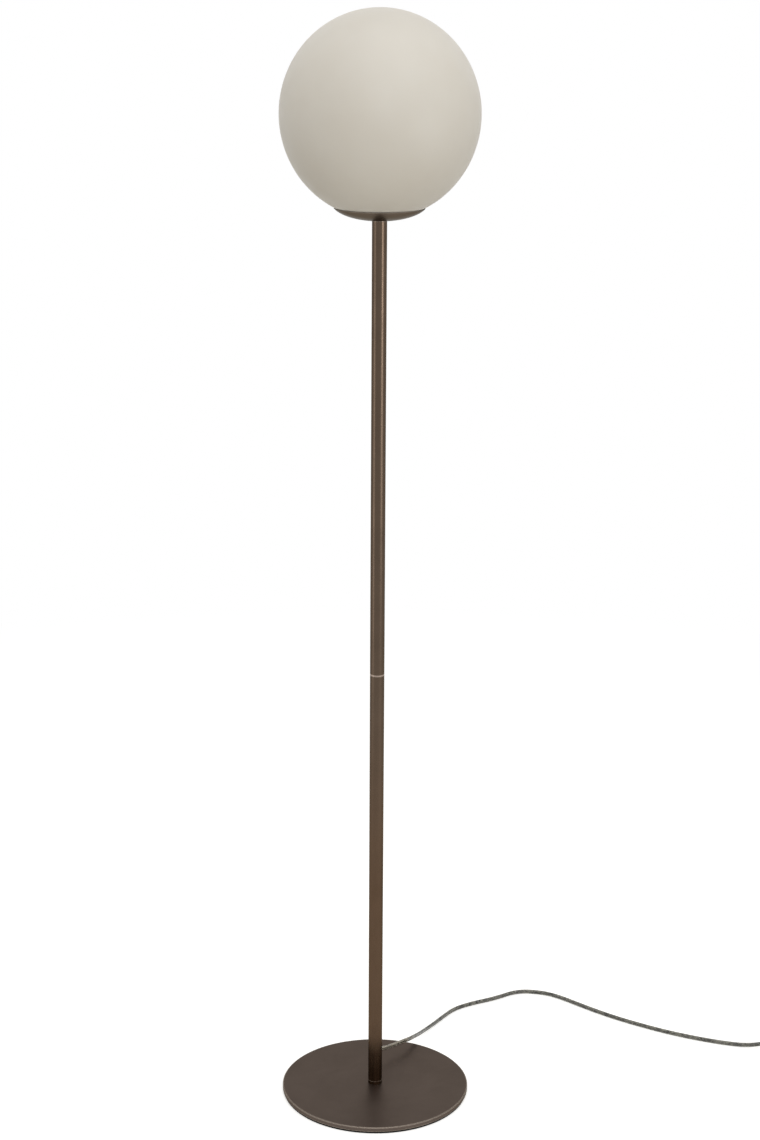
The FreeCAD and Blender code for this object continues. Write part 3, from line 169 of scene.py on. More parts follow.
def finish_of(name, colour, rough, metallic=0.0, blotch=30.0, vary=0.10, speck=900.0, speck_vary=0.05,
              rough_vary=0.06, grain=2000.0, grain_depth=0.00002, stretch=None, worn_and_lit_colour=None, wear_and_highlight=0.0,
              reach=0.0009, low_colour=None, **sockets):
    """A plain finish with blotches, fine specks, uneven gloss, surface grain and paler edges, partly abrasion
    and partly a painted highlight.

    The low reflection colour is a painted reflection of the floor near it, and blends into the other between two
    heights."""
    graph = Graph(name)
    vector = graph.stretched(stretch) if stretch else None
    blotches = graph.noise(blotch, 4.0)
    specks = graph.noise(speck, 2.0, vector)
    dark, light = scaled(colour, 1.0 - vary), scaled(colour, 1.0 + vary)
    # Painted reflection of the floor: the colour turns browner low down, below the blend heights.
    if low_colour:
        height = graph.node("ShaderNodeSeparateXYZ", {"Vector": graph.place}).outputs["Z"]
        above_reflection = graph.ranged(height, BLEND_LOW, BLEND_HIGH, 0.0, 1.0)
        dark = graph.mixed(above_reflection, scaled(low_colour, 1.0 - vary), dark)
        light = graph.mixed(above_reflection, scaled(low_colour, 1.0 + vary), light)
    base = graph.mixed(graph.ranged(blotches, 0.3, 0.7, 0.0, 1.0), dark, light)
    base = graph.mixed(graph.ranged(specks, 0.35, 0.65, 0.0, 1.0), base,
                       graph.mixed(speck_vary * 4.0, base, scaled(colour, 1.35)))
    # Paler edges over the bevel mask: partly abrasion, partly a painted highlight where edges catch the light.
    if worn_and_lit_colour:
        edge = graph.rubbed_and_lit(reach, wear_and_highlight)
        patchy = graph.ranged(specks, 0.3, 0.6, 0.4, 1.0)
        base = graph.mixed(graph.maths("MULTIPLY", edge, patchy), base, worn_and_lit_colour)
    gloss = graph.ranged(graph.noise(blotch * 2.3, 3.0), 0.3, 0.7, rough - rough_vary, rough + rough_vary)
    normal = graph.bump(graph.noise(grain, 2.0, vector), grain_depth)
    return graph.principled(Base_Color=base, Roughness=gloss, Metallic=metallic, Normal=normal, **sockets)


def bronzed(name, colour, rough, wear_and_highlight=0.6, **more):
    """Dark bronzed nickel: satin, slightly uneven, and paler at the edges, partly by abrasion and partly as a
    painted highlight.
    """
    return finish_of(name, colour, rough, 1.0, blotch=22.0, vary=0.07, speck=1400.0, speck_vary=0.03,
                     rough_vary=0.04, grain=2600.0, grain_depth=0.000004, worn_and_lit_colour=srgb(196, 184, 170),
                     wear_and_highlight=wear_and_highlight, Specular_Tint=(0.55, 0.53, 0.50, 1.0), **more)


def opal_glass():
    """Satin white cased glass: faintly warm, with a soft cloudiness and an almost smooth skin."""
    graph = Graph("opal_glass")
    cloud = graph.noise(9.0, 3.0)
    base = graph.mixed(graph.ranged(cloud, 0.3, 0.7, 0.0, 1.0), srgb(217, 211, 200), srgb(221, 216, 206))
    gloss = graph.ranged(graph.noise(60.0, 3.0), 0.3, 0.7, 0.42, 0.52)
    normal = graph.bump(graph.noise(1800.0, 2.0), 0.000006)
    normal = graph.bump(graph.noise(14.0, 1.0), 0.0004, 0.5, normal)
    return graph.principled(
        Base_Color=base, Roughness=gloss, Normal=normal, Specular_IOR_Level=0.3,
        Subsurface_Weight=0.12, Subsurface_Radius=(0.012, 0.011, 0.009), Subsurface_Scale=1.0)


def clear_sheath():
    """Clear vinyl, slightly yellowed, with dull scuffs."""
    graph = Graph("clear_sheath")
    scuffs = graph.noise(420.0, 4.0)
    gloss = graph.ranged(scuffs, 0.4, 0.75, 0.10, 0.34)
    base = graph.mixed(graph.ranged(graph.noise(35.0), 0.3, 0.7, 0.0, 1.0),
                       srgb(196, 195, 186), srgb(214, 213, 205))
    normal = graph.bump(graph.noise(300.0, 2.0), 0.00004)
    return graph.principled(Base_Color=base, Roughness=gloss, Normal=normal, IOR=1.46,
                            Transmission_Weight=0.95)


def strands():
    """Tinned copper strands: tarnished in places, dark between, and paler near the pole."""
    graph = Graph("tinned_strands")
    tarnish = graph.ranged(graph.noise(160.0, 4.0), 0.42, 0.62, 0.0, 1.0)
    fine = graph.ranged(graph.noise(1500.0, 2.0), 0.35, 0.65, 0.0, 1.0)
    from_pole = graph.node("ShaderNodeVectorMath", {"Vector": graph.stretched((1.0, 1.0, 0.0))},
                           operation="LENGTH").outputs["Value"]
    pole_fade = graph.ranged(from_pole, PALE_TO, DULL_FROM, 0.0, 1.0)
    bright = graph.mixed(pole_fade, srgb(214, 204, 190), srgb(160, 158, 150))
    dull = graph.mixed(pole_fade, srgb(160, 150, 138), srgb(74, 72, 68))
    base = graph.mixed(tarnish, bright, dull)
    base = graph.mixed(graph.maths("MULTIPLY", fine, 0.35), base, srgb(52, 50, 47))
    gloss = graph.ranged(graph.noise(500.0), 0.3, 0.7, 0.22, 0.42)
    normal = graph.bump(graph.noise(2600.0, 2.0), 0.00003)
    return graph.principled(Base_Color=base, Roughness=gloss, Metallic=0.85, Normal=normal)


def sleeved_pins():
    """Plug pins: black sleeves by the plug's face, then bare nickelled brass."""
    graph = Graph("sleeved_pins")
    out = graph.node("ShaderNodeSeparateXYZ", {"Vector": graph.place}).outputs["Y"]
    bare = graph.ranged(out, SLEEVE_END - SLEEVE_BLEND, SLEEVE_END + SLEEVE_BLEND, 0.0, 1.0)
    marks = graph.ranged(graph.noise(700.0, 3.0), 0.3, 0.7, 0.0, 1.0)
    base = graph.mixed(bare, srgb(28, 28, 29), graph.mixed(marks, srgb(178, 174, 166), srgb(206, 202, 194)))
    gloss = graph.mixed(bare, (0.46, 0.46, 0.46), graph.mixed(marks, (0.18, 0.18, 0.18), (0.30, 0.30, 0.30)))
    normal = graph.bump(graph.noise(2200.0, 2.0), 0.00001)
    return graph.principled(Base_Color=base, Roughness=gloss, Metallic=bare, Normal=normal)


def moulded(name, colour, rough=0.48, depth=0.00003):
    """Moulded plastic with a fine eroded texture and paler edges, partly abrasion and partly a painted
    highlight.
    """
    return finish_of(name, colour, rough, blotch=45.0, vary=0.10, speck=2400.0, speck_vary=0.06,
                     rough_vary=0.07, grain=3200.0, grain_depth=depth, worn_and_lit_colour=scaled(colour, 2.4), wear_and_highlight=0.35,
                     Specular_IOR_Level=0.45)


def woven(name, colour):
    """A woven strap: ribs across it and a fuzzy, uneven colour."""
    graph = Graph(name)
    threads = graph.noise(2600.0, 3.0)
    ribs = graph.node("ShaderNodeTexWave", {
        "Vector": graph.place, "Scale": 300.0, "Distortion": 1.5, "Detail": 2.0}, bands_direction="Z")
    base = graph.mixed(threads, scaled(colour, 0.6), scaled(colour, 1.8))
    normal = graph.bump(ribs.outputs["Fac"], 0.00012)
    normal = graph.bump(threads, 0.0001, 1.0, normal)
    return graph.principled(Base_Color=base, Roughness=graph.ranged(threads, 0.3, 0.7, 0.8, 0.95),
                            Normal=normal, Sheen_Weight=0.3)


MATERIALS = {
    # The plate's rim is paled strongly over a wide bevel: a painted highlight along its top edge, partly
    # abrasion too.
    "plate": bronzed("bronzed_plate", srgb(88, 78, 72), 0.42, 0.9, reach=0.0014),
    # The tube's low colour is a painted reflection of the warm floor, browner towards the foot.
    "tube": bronzed("bronzed_tube", srgb(84, 71, 60), 0.27, stretch=(1.0, 1.0, 0.04),
                    low_colour=srgb(82, 65, 51)),
    "dish": bronzed("bronzed_dish", srgb(90, 80, 70), 0.32),
    "bright": finish_of("bright_ring", srgb(150, 134, 123), 0.30, 1.0, blotch=90.0, grain=2400.0,
                        grain_depth=0.00001),
    "zinc": finish_of("zinc_plate", srgb(178, 180, 182), 0.34, 1.0, blotch=60.0, vary=0.12, rough_vary=0.1,
                      worn_and_lit_colour=srgb(225, 226, 228), wear_and_highlight=0.5),
    "brass": finish_of("plain_brass", srgb(196, 160, 92), 0.30, 1.0, blotch=70.0, vary=0.14, rough_vary=0.1,
                       worn_and_lit_colour=srgb(235, 208, 150), wear_and_highlight=0.5),
    "nickel": finish_of("bright_nickel", srgb(196, 192, 184), 0.22, 1.0, blotch=80.0, rough_vary=0.08,
                        worn_and_lit_colour=srgb(232, 230, 226), wear_and_highlight=0.4),
    "foam": finish_of("closed_cell_foam", srgb(20, 19, 18), 0.92, blotch=60.0, vary=0.2, speck=1100.0,
                      speck_vary=0.2, grain=1300.0, grain_depth=0.0002, Specular_IOR_Level=0.2),
    "rubber": finish_of("dark_rubber", srgb(34, 33, 32), 0.68, blotch=80.0, vary=0.15, grain=1800.0,
                        grain_depth=0.00006, Specular_IOR_Level=0.3),
    "black": moulded("black_plastic", srgb(26, 26, 27)),
    "pale": moulded("pale_plastic", srgb(205, 201, 190), 0.42),
    "white": moulded("white_plastic", srgb(226, 225, 220), 0.38, 0.00001),
    "ceramic": finish_of("glazed_ceramic", srgb(228, 225, 215), 0.16, blotch=50.0, vary=0.03, speck=500.0,
                         speck_vary=0.03, rough_vary=0.04, grain=500.0, grain_depth=0.00006,
                         Coat_Weight=0.5, Coat_Roughness=0.08),
    "diffuser": finish_of("milky_diffuser", srgb(232, 231, 226), 0.34, blotch=30.0, vary=0.02, speck=600.0,
                          speck_vary=0.02, grain_depth=0.000006, Subsurface_Weight=0.3,
                          Subsurface_Radius=(0.006, 0.006, 0.005), Subsurface_Scale=1.0),
    "glass_black": finish_of("black_glass", srgb(18, 18, 22), 0.14, blotch=120.0, vary=0.2, rough_vary=0.05),
    "wire": finish_of("wire_insulation", srgb(150, 134, 110), 0.44, blotch=90.0, vary=0.1,
                      grain=1800.0, grain_depth=0.00003),
    "cable": finish_of("cable_sheath", srgb(190, 190, 182), 0.36, blotch=90.0, vary=0.1,
                       grain=1500.0, grain_depth=0.00004),
    "pins": sleeved_pins(),
    "opal": opal_glass(),
    "sheath": clear_sheath(),
    "strands": strands(),
    "strap": woven("strap_weave", srgb(24, 24, 25)),
}

NODE_MATERIALS = {
    "foam": ["floor_pad"],
    "plate": ["base_plate"],
    "tube": ["lower_tube", "upper_tube", "foot_ring"],
    "dish": ["gallery_dish"],
    "bright": ["joint_ring"],
    "zinc": ["base_washer", "base_screw", "tube_plug", "tube_inserts", "joint_nipple", "globe_spring",
             "lock_washer", "gallery_nipple", "button_spring", "switch_screws"],
    "brass": ["gallery_nut", "screw_shell", "centre_contact", "terminal_screws", "switch_contacts"],
    "nickel": ["bulb_cap"],
    "pins": ["plug_pins"],
    "rubber": ["globe_gasket"],
    "black": ["strain_relief", "holder_cap", "holder_body", "switch_base", "switch_cover", "switch_button",
              "switch_reliefs", "plug_body", "plug_relief"],
    "pale": ["switch_block"],
    "white": ["bulb_housing"],
    "ceramic": ["holder_insulator"],
    "diffuser": ["bulb_dome"],
    "glass_black": ["bulb_contact"],
    "wire": ["holder_leads"],
    "cable": ["inner_cable", "switch_cables"],
    "opal": ["glass_globe"],
    "sheath": ["cord_lamp_to_switch", "cord_switch_to_coil", "cord_coil", "cord_coil_to_plug"],
    "strap": ["cord_tie"],
}


def dress(piece, material):
    """Gives every material slot of a piece that material."""
    if not piece.data.materials:
        piece.data.materials.append(material)
    for index in range(len(piece.data.materials)):
        piece.data.materials[index] = material


for kind, names in NODE_MATERIALS.items():
    for name in names:
        dress(NODES[name], MATERIALS[kind])


# ---------------------------------------------------------------- meshes

def new_piece(name, points, faces, material, body, slot):
    """A smooth mesh with outward normals, dressed and riding on its body, named by its name; its slot is not
    used.
    """
    mesh = bpy.data.meshes.new(name)
    mesh.from_pydata(points, [], faces)
    mesh.validate()
    built = bmesh.new()
    built.from_mesh(mesh)
    bmesh.ops.recalc_face_normals(built, faces=built.faces)
    built.to_mesh(mesh)
    built.free()
    mesh.polygons.foreach_set("use_smooth", [True] * len(mesh.polygons))
    mesh.update()
    piece = bpy.data.objects.new(name, mesh)
    bpy.context.scene.collection.objects.link(piece)
    dress(piece, material)
    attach(piece, body)
    return piece


def turned(profile, count):
    """Points and faces of a closed (radius, height) outline turned about Z. Points on the axis are shared."""
    points, rings = [], []
    for radius, height in profile:
        if radius < 1e-7:
            rings.append([len(points)] * count)
            points.append((0.0, 0.0, height))
            continue
        rings.append(list(range(len(points), len(points) + count)))
        for step in range(count):
            angle = 2.0 * math.pi * step / count
            points.append((radius * math.cos(angle), radius * math.sin(angle), height))
    faces = []
    for one, two in zip(rings, rings[1:] + rings[:1]):
        for step in range(count):
            after = (step + 1) % count
            corners = [one[step], two[step], two[after], one[after]]
            corners = [c for place, c in enumerate(corners) if c not in corners[:place]]
            if len(corners) > 2:
                faces.append(corners)
    return points, faces


# ---------------------------------------------------------------- the glass globe

GLOBE_RADIUS, GLOBE_HALF_HEIGHT, GLOBE_WALL = 0.125, 0.128, 0.0025
GLOBE_MIDDLE = 1.3243
GLOBE_MOUTH = 0.045
# How far the lip bulges inward, as a share of half its height.
LIP_BULGE = 0.85
GLOBE_STEPS, GLOBE_ROUND, LIP_STEPS = 60, 128, 5


def globe_outline():
    """Outer skin from the top down to the mouth, a fire-polished lip, and the inner skin back up."""
    mouth_out = math.asin(GLOBE_MOUTH / GLOBE_RADIUS)
    inner_radius, inner_half = GLOBE_RADIUS - GLOBE_WALL, GLOBE_HALF_HEIGHT - GLOBE_WALL
    mouth_in = math.asin(GLOBE_MOUTH / inner_radius)
    outer = []
    for step in range(GLOBE_STEPS + 1):
        angle = (math.pi - mouth_out) * step / GLOBE_STEPS
        outer.append((GLOBE_RADIUS * math.sin(angle), GLOBE_MIDDLE + GLOBE_HALF_HEIGHT * math.cos(angle)))
    inner = []
    for step in range(GLOBE_STEPS + 1):
        angle = (math.pi - mouth_in) * (1.0 - step / GLOBE_STEPS)
        inner.append((inner_radius * math.sin(angle), GLOBE_MIDDLE + inner_half * math.cos(angle)))
    low, high = outer[-1][1], inner[0][1]
    middle, half = (low + high) / 2.0, (high - low) / 2.0
    bulge = half * LIP_BULGE
    outer[-1] = (GLOBE_MOUTH + bulge, low)
    inner[0] = (GLOBE_MOUTH + bulge, high)
    lip = []
    for step in range(1, LIP_STEPS):
        turn = math.pi * step / LIP_STEPS
        lip.append((GLOBE_MOUTH + bulge * (1.0 - math.sin(turn)), middle - half * math.cos(turn)))
    return outer + lip + inner


globe = new_piece("opal_globe", *turned(globe_outline(), GLOBE_ROUND), MATERIALS["opal"], GLOBE,
                  "glass_globe")
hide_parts("glass_globe")


# ---------------------------------------------------------------- the lead

# The flat twin lead's section, and its waist as a share of a lobe's radius.
LEAD_TALL, LEAD_THICK = 0.0062, 0.0036
SHEATH_WAIST, LOBE_STEPS = 0.84, 8
# How far the lead leans as it goes, in radians, and how often in a metre.
LEAD_LEAN, LEANS_A_METRE = 0.16, 14.0
# The bundles of strands: their radius, the strands' height on it, and how loosely they lie.
CORE_RADIUS = 0.0012
CORE_APART = (LEAD_TALL - LEAD_THICK) / 2.0
SHEATH_STEP, CORE_STEP = 0.0025, 0.0015
CORE_LOBES, CORE_PITCH, CORE_ROUND = 10, 0.022, 30
LOBE_HEIGHT, CORE_SLACK, CORE_CLEARANCE = 0.09, 0.00012, 0.00005

LAMP_TO_SWITCH = [
    (0.000, 0.034, 0.030), (0.000, 0.0438, 0.030), (0.0024, 0.0529, 0.0290), (0.0073, 0.0609, 0.0275),
    (0.0145, 0.0682, 0.0258), (0.026, 0.0785, 0.0246), (0.038, 0.0905, 0.0240), (0.049, 0.105, 0.0212),
    (0.0565, 0.1215, 0.0170), (0.0635, 0.139, 0.0120), (0.074, 0.165, 0.0062), (0.086, 0.188, 0.0036),
    (0.098, 0.208, 0.0032),
    (0.116, 0.236, 0.0032), (0.141, 0.254, 0.0032), (0.180, 0.273, 0.0032), (0.214, 0.298, 0.0032),
    (0.248, 0.295, 0.0032), (0.274, 0.282, 0.0032), (0.307, 0.251, 0.0032), (0.345, 0.218, 0.0032),
    (0.385, 0.190, 0.0032), (0.430, 0.163, 0.0032), (0.476, 0.142, 0.0032), (0.518, 0.128, 0.0032),
    (0.541, 0.1235, 0.0046), (0.558, 0.122, 0.008), (0.574, 0.122, 0.008)]
SWITCH_TO_COIL = [(0.678, 0.122, 0.008), (0.694, 0.122, 0.008), (0.711, 0.122, 0.0053)]
COIL_TO_PLUG = [(0.770, 0.175, 0.0104), (0.771, 0.187, 0.0093), (0.770, 0.200, 0.007), (0.770, 0.212, 0.007)]
COIL_MIDDLE = (0.730, 0.162)
COIL_OUT, COIL_IN, COIL_LOW, COIL_HIGH = 0.040, 0.0336, 0.0041, 0.0105
TURN_POINTS = 16
# A turn keeps its place for the first share of its round and moves to the next place in the second.
TURN_HELD, TURN_MOVES = 0.72, 0.28
HAND_WANDER = 0.0006


def eased(value):
    """The value held between 0 and 1, slow at both ends."""
    value = min(1.0, max(0.0, value))
    return value * value * (3.0 - 2.0 * value)


def coil_points():
    """The put-away turns: outer low, inner low, inner high, then a quarter turn outer high."""
    stops = [(COIL_OUT, COIL_LOW), (COIL_IN, COIL_LOW), (COIL_IN, COIL_HIGH), (COIL_OUT, COIL_HIGH)]
    points = []
    for step in range(3 * TURN_POINTS + TURN_POINTS // 4 + 1):
        turns = step / TURN_POINTS
        layer = min(int(turns), 3)
        nearly = eased((turns - layer - TURN_HELD) / TURN_MOVES)
        (radius, height), (next_radius, next_height) = stops[layer], stops[min(layer + 1, 3)]
        radius += (next_radius - radius) * nearly
        height += (next_height - height) * nearly
        angle = 2.0 * math.pi * (turns - 0.25)
        # A hand never lays two turns quite alike.
        radius += HAND_WANDER * math.sin(2.3 * angle + layer)
        # The spline cuts inside its points, so they stand a little further out.
        radius /= math.cos(math.pi / TURN_POINTS)
        points.append((COIL_MIDDLE[0] + radius * math.cos(angle),
                       COIL_MIDDLE[1] + radius * math.sin(angle), height))
    return points


def centreline(name, controls):
    """The points of a smooth spline through the lead's route, close together."""
    curve = bpy.data.curves.new(name, "CURVE")
    curve.dimensions = "3D"
    curve.resolution_u = 24
    spline = curve.splines.new("NURBS")
    spline.points.add(len(controls) - 1)
    for point, place in zip(spline.points, controls):
        point.co = (*place, 1.0)
    spline.order_u = 3
    spline.use_endpoint_u = True
    holder = bpy.data.objects.new(name, curve)
    bpy.context.scene.collection.objects.link(holder)
    bpy.context.view_layer.update()
    mesh = bpy.data.meshes.new_from_object(holder.evaluated_get(bpy.context.evaluated_depsgraph_get()))
    line = [vertex.co.copy() for vertex in mesh.vertices]
    bpy.data.meshes.remove(mesh)
    bpy.data.objects.remove(holder)
    bpy.data.curves.remove(curve)
    return line


def stepped(line, step):
    """The same line with points a fixed step apart, each with its distance along it."""
    out, gone, due = [(line[0], 0.0)], 0.0, step
    for one, two in zip(line, line[1:]):
        length = (two - one).length
        while length > 0 and gone + length >= due:
            out.append((one.lerp(two, (due - gone) / length), due))
            due += step
        gone += length
    if gone - out[-1][1] > step * 0.3:
        out.append((line[-1], gone))
    else:
        out[-1] = (line[-1], gone)
    return out


def lead_frames(line, step):
    """Each point of the lead with its side and up directions. The flat lead stands on edge, a little twisted."""
    placed = stepped(line, step)
    frames = []
    for index, (point, gone) in enumerate(placed):
        before, after = placed[max(index - 1, 0)][0], placed[min(index + 1, len(placed) - 1)][0]
        along = (after - before).normalized()
        side = along.cross(Vector((0.0, 0.0, 1.0))).normalized()
        up = side.cross(along).normalized()
        lean = LEAD_LEAN * noise.noise(Vector((gone * LEANS_A_METRE, 3.1, 0.7)))
        twist = Matrix.Rotation(lean, 3, along)
        frames.append((point, twist @ side, twist @ up, gone))
    return frames


def loft(rings):
    """Points and faces of rings of equal count joined in a row, closed at both ends."""
    count = len(rings[0])
    points = [point for ring in rings for point in ring]
    faces = [list(range(count))[::-1], list(range(len(points) - count, len(points)))]
    for row in range(len(rings) - 1):
        for step in range(count):
            after = (step + 1) % count
            low = row * count
            faces.append([low + step, low + after, low + count + after, low + count + step])
    return points, faces


def sheath_section():
    """(side, up) points round the flat twin sheath: two round lobes with a shallow waist."""
    half, lobe = CORE_APART, LEAD_THICK / 2.0
    waist = lobe * SHEATH_WAIST
    points = []
    for step in range(LOBE_STEPS + 1):
        angle = math.pi * step / LOBE_STEPS
        points.append((lobe * math.cos(angle), half + lobe * math.sin(angle)))
    points.append((-waist, 0.0))
    for step in range(LOBE_STEPS + 1):
        angle = math.pi + math.pi * step / LOBE_STEPS
        points.append((lobe * math.cos(angle), -half + lobe * math.sin(angle)))
    points.append((waist, 0.0))
    return points


def sheath_mesh(line):
    """The flat twin sheath along the line."""
    section = sheath_section()
    return loft([[point + side * across + up * high for across, high in section]
                 for point, side, up, _ in lead_frames(line, SHEATH_STEP)])


def core_mesh(line):
    """Two bundles of twisted strands: each a lobed cylinder whose lobes wind round it."""
    points, faces = [], []
    frames = lead_frames(line, CORE_STEP)
    for place, hand in ((CORE_APART, 0.0), (-CORE_APART, 1.7)):
        rings = []
        for point, side, up, gone in frames:
            wind = 2.0 * math.pi * gone / CORE_PITCH + hand
            slack = CORE_SLACK * noise.noise(Vector((gone * 60.0, hand, 0.0)))
            ring = []
            for step in range(CORE_ROUND):
                angle = 2.0 * math.pi * step / CORE_ROUND
                radius = CORE_RADIUS * (1.0 + LOBE_HEIGHT * math.cos(CORE_LOBES * angle)) - CORE_CLEARANCE
                ring.append(point + up * (place + slack + radius * math.sin(angle + wind))
                            + side * (radius * math.cos(angle + wind)))
            rings.append(ring)
        more_points, more_faces = loft(rings)
        faces += [[corner + len(points) for corner in face] for face in more_faces]
        points += more_points
    return points, faces


def lead(name, controls, nodes):
    """A length of the lead: its clear sheath, with the cores in it."""
    line = centreline(name + "_route", controls)
    sheath = new_piece(name + "_sheath", *sheath_mesh(line), MATERIALS["sheath"], STAND, nodes[0])
    cores = new_piece(name + "_cores", *core_mesh(line), MATERIALS["strands"], STAND, nodes[0])
    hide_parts(*nodes)
    return sheath, cores, line


first_sheath, first_cores, first_line = lead("first_lead", LAMP_TO_SWITCH, ["cord_lamp_to_switch"])
last_sheath, last_cores, last_line = lead(
    "last_lead", SWITCH_TO_COIL + coil_points() + COIL_TO_PLUG,
    ["cord_switch_to_coil", "cord_coil", "cord_coil_to_plug"])


# ---------------------------------------------------------------- the foot switch's spring

SPRING_TURNS, STEPS_A_TURN = 5, 28
WIRE_RADIUS, WIRE_ROUND = 0.0004, 10


def coil_spring(low, high):
    """A helix of round wire that fills that box, as loft rings."""
    middle_x, middle_y = (low[0] + high[0]) / 2.0, (low[1] + high[1]) / 2.0
    radius = (high[0] - low[0]) / 2.0 - WIRE_RADIUS
    foot, rise = low[2] + WIRE_RADIUS, high[2] - low[2] - 2.0 * WIRE_RADIUS
    steps = SPRING_TURNS * STEPS_A_TURN
    rings = []
    for step in range(steps + 1):
        share = step / steps
        angle = 2.0 * math.pi * SPRING_TURNS * share
        out = Vector((math.cos(angle), math.sin(angle), 0.0))
        centre = Vector((middle_x, middle_y, foot + rise * share)) + out * radius
        ring = []
        for corner in range(WIRE_ROUND):
            turn = 2.0 * math.pi * corner / WIRE_ROUND
            ring.append(centre + out * (WIRE_RADIUS * math.cos(turn))
                        + Vector((0.0, 0.0, WIRE_RADIUS * math.sin(turn))))
        rings.append(ring)
    return loft(rings)


spring_low, spring_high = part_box("button_spring")
spring = new_piece("pressed_spring", *coil_spring(spring_low, spring_high), MATERIALS["zinc"], STAND,
                   "button_spring")
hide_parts("button_spring")
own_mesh(spring)


# ---------------------------------------------------------------- floor, world, lights and camera

FLOOR_RADIUS, FLOOR_CORNERS, FLOOR_SINK = 14.0, 96, 0.0002
FLOOR_GLOW = 0.46
# The distances from the pole between which the floor fades to white.
FADE_FROM, FADE_TO = 1.0, 2.4
SURROUND_STRENGTH = 0.55
# The view: degrees down and round, the place in metres, the lens and sensor in millimetres.
CAMERA_PITCH, CAMERA_ROLL = 15.054, 0.321
CAMERA_PLACE = (0.00294, -2.78353, 1.49176)
CAMERA_LENS, CAMERA_SENSOR = 70.04, 36.0


def floor():
    """A pale floor, white to the camera and in reflections, that keeps the lamp's soft shadow."""
    points = [(0.0, 0.0, -FLOOR_SINK)]
    for step in range(FLOOR_CORNERS):
        angle = 2.0 * math.pi * step / FLOOR_CORNERS
        points.append((FLOOR_RADIUS * math.cos(angle), FLOOR_RADIUS * math.sin(angle), -FLOOR_SINK))
    faces = [[0, 1 + step, 1 + (step + 1) % FLOOR_CORNERS] for step in range(FLOOR_CORNERS)]
    mesh = bpy.data.meshes.new("floor")
    mesh.from_pydata(points, [], faces)
    ground = bpy.data.objects.new("floor", mesh)
    bpy.context.scene.collection.objects.link(ground)
    graph = Graph("pale_floor")
    seen = seen_rays(graph.tree)
    far = graph.node("ShaderNodeVectorMath", {"Vector": graph.place}, operation="LENGTH").outputs["Value"]
    lit = graph.node("ShaderNodeBsdfDiffuse", {"Color": srgb(244, 243, 240)})
    glow = graph.node("ShaderNodeEmission", {"Color": (1.0, 1.0, 1.0), "Strength": FLOOR_GLOW})
    both = graph.node("ShaderNodeAddShader")
    graph.tree.links.new(lit.outputs[0], both.inputs[0])
    graph.tree.links.new(glow.outputs[0], both.inputs[1])
    white = graph.node("ShaderNodeEmission", {"Color": (1.0, 1.0, 1.0), "Strength": 1.0})
    plain = graph.node("ShaderNodeBsdfDiffuse", {"Color": srgb(176, 171, 160)})
    faded = graph.node("ShaderNodeMixShader", {"Fac": graph.ranged(far, FADE_FROM, FADE_TO, 0.0, 1.0)})
    graph.tree.links.new(both.outputs[0], faded.inputs[1])
    graph.tree.links.new(white.outputs[0], faded.inputs[2])
    blend = graph.node("ShaderNodeMixShader", {"Fac": seen})
    graph.tree.links.new(plain.outputs[0], blend.inputs[1])
    graph.tree.links.new(faded.outputs[0], blend.inputs[2])
    graph.tree.links.new(blend.outputs[0], graph.output.inputs["Surface"])
    mesh.materials.append(graph.material)


def seen_rays(tree):
    """1 for rays that end in the picture: camera, glossy and transmission rays."""
    path = tree.nodes.new("ShaderNodeLightPath")
    value = path.outputs["Is Camera Ray"]
    for name in ("Is Glossy Ray", "Is Transmission Ray"):
        add = tree.nodes.new("ShaderNodeMath")
        add.operation = "MAXIMUM"
        tree.links.new(value, add.inputs[0])
        tree.links.new(path.outputs[name], add.inputs[1])
        value = add.outputs[0]
    return value


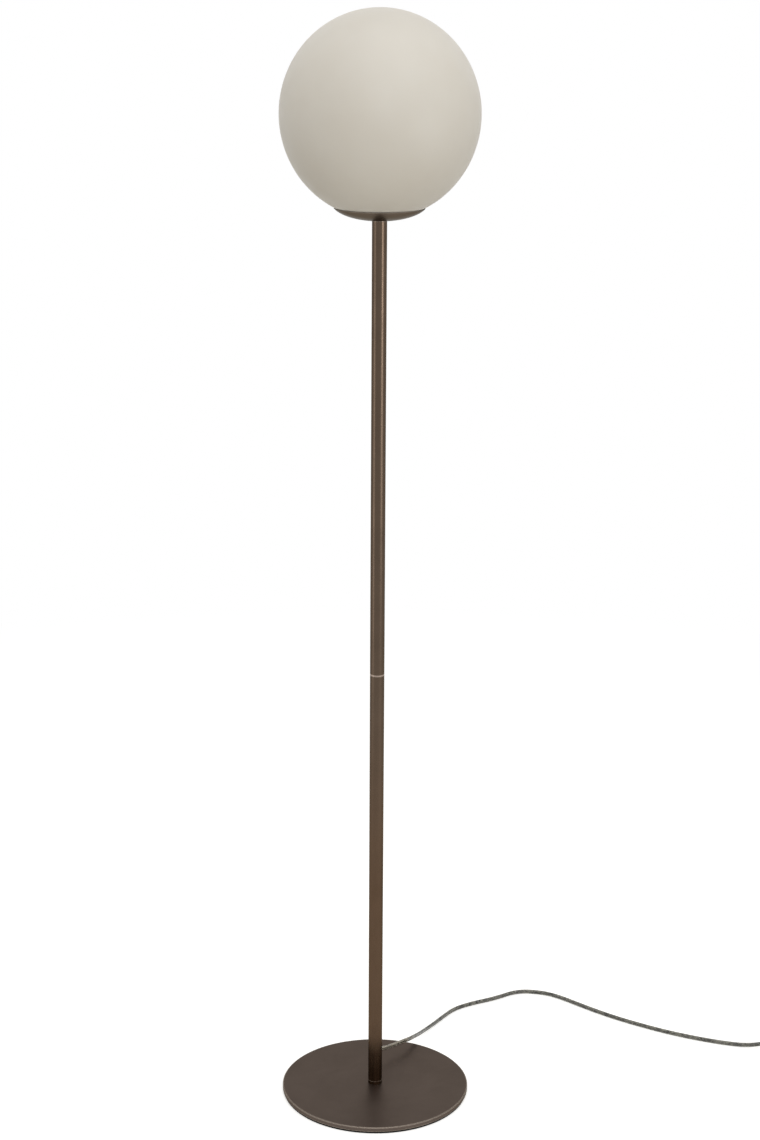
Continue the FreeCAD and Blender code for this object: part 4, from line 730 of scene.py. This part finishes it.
def surroundings(strength):
    """A white surround for what the picture shows, and a softer one that lights the lamp."""
    world = bpy.data.worlds.new("surroundings")
    bpy.context.scene.world = world
    world.use_nodes = True
    tree = world.node_tree
    tree.nodes.clear()
    output = tree.nodes.new("ShaderNodeOutputWorld")
    white = tree.nodes.new("ShaderNodeBackground")
    white.inputs["Color"].default_value = (1.0, 1.0, 1.0, 1.0)
    soft = tree.nodes.new("ShaderNodeBackground")
    soft.inputs["Color"].default_value = (1.0, 0.99, 0.97, 1.0)
    soft.inputs["Strength"].default_value = strength
    mix = tree.nodes.new("ShaderNodeMixShader")
    tree.links.new(seen_rays(tree), mix.inputs[0])
    tree.links.new(soft.outputs[0], mix.inputs[1])
    tree.links.new(white.outputs[0], mix.inputs[2])
    tree.links.new(mix.outputs[0], output.inputs["Surface"])


def softbox(name, place, aim, width, height, watts):
    """A white rectangular light that the camera doesn't see."""
    light = bpy.data.lights.new(name, "AREA")
    light.shape = "RECTANGLE"
    light.size, light.size_y = width, height
    light.energy = watts
    lamp = bpy.data.objects.new(name, light)
    lamp.location = place
    lamp.rotation_euler = (Vector(aim) - Vector(place)).to_track_quat("-Z", "Y").to_euler()
    lamp.visible_camera = False
    bpy.context.scene.collection.objects.link(lamp)


def camera():
    """The photograph's view: a long lens a little above the globe's top, tilted down."""
    pitch, roll = math.radians(CAMERA_PITCH), math.radians(CAMERA_ROLL)
    ahead = Vector((0.0, math.cos(pitch), -math.sin(pitch)))
    above = Vector((0.0, math.sin(pitch), math.cos(pitch)))
    right = Vector((1.0, 0.0, 0.0))
    tilted_right = right * math.cos(roll) + above * math.sin(roll)
    tilted_up = above * math.cos(roll) - right * math.sin(roll)
    data = bpy.data.cameras.new("camera")
    data.lens, data.sensor_width, data.sensor_fit = CAMERA_LENS, CAMERA_SENSOR, "AUTO"
    data.clip_start, data.clip_end = 0.05, 60.0
    view = bpy.data.objects.new("camera", data)
    turn = Matrix((tilted_right, tilted_up, -ahead)).transposed().to_4x4()
    view.matrix_world = Matrix.Translation(CAMERA_PLACE) @ turn
    bpy.context.scene.collection.objects.link(view)
    bpy.context.scene.camera = view


floor()
surroundings(SURROUND_STRENGTH)
softbox("overhead", (0.0, -0.4, 4.6), (0.0, 0.0, 0.6), 3.2, 3.2, 38.0)
softbox("key", (0.3, -4.1, 2.9), (0.0, 0.0, 1.0), 2.2, 2.2, 43.0)
softbox("left_panel", (-2.07, -0.75, 0.55), (0.0, 0.0, 0.75), 0.9, 1.1, 5.5)
softbox("right_panel", (1.80, -1.26, 0.70), (0.0, 0.0, 0.85), 1.0, 0.9, 7.0)
softbox("right_strip", (1.70, -1.35, 0.95), (0.0, 0.0, 1.10), 0.35, 0.5, 3.5)
camera()
bpy.context.scene.view_settings.view_transform = "Standard"
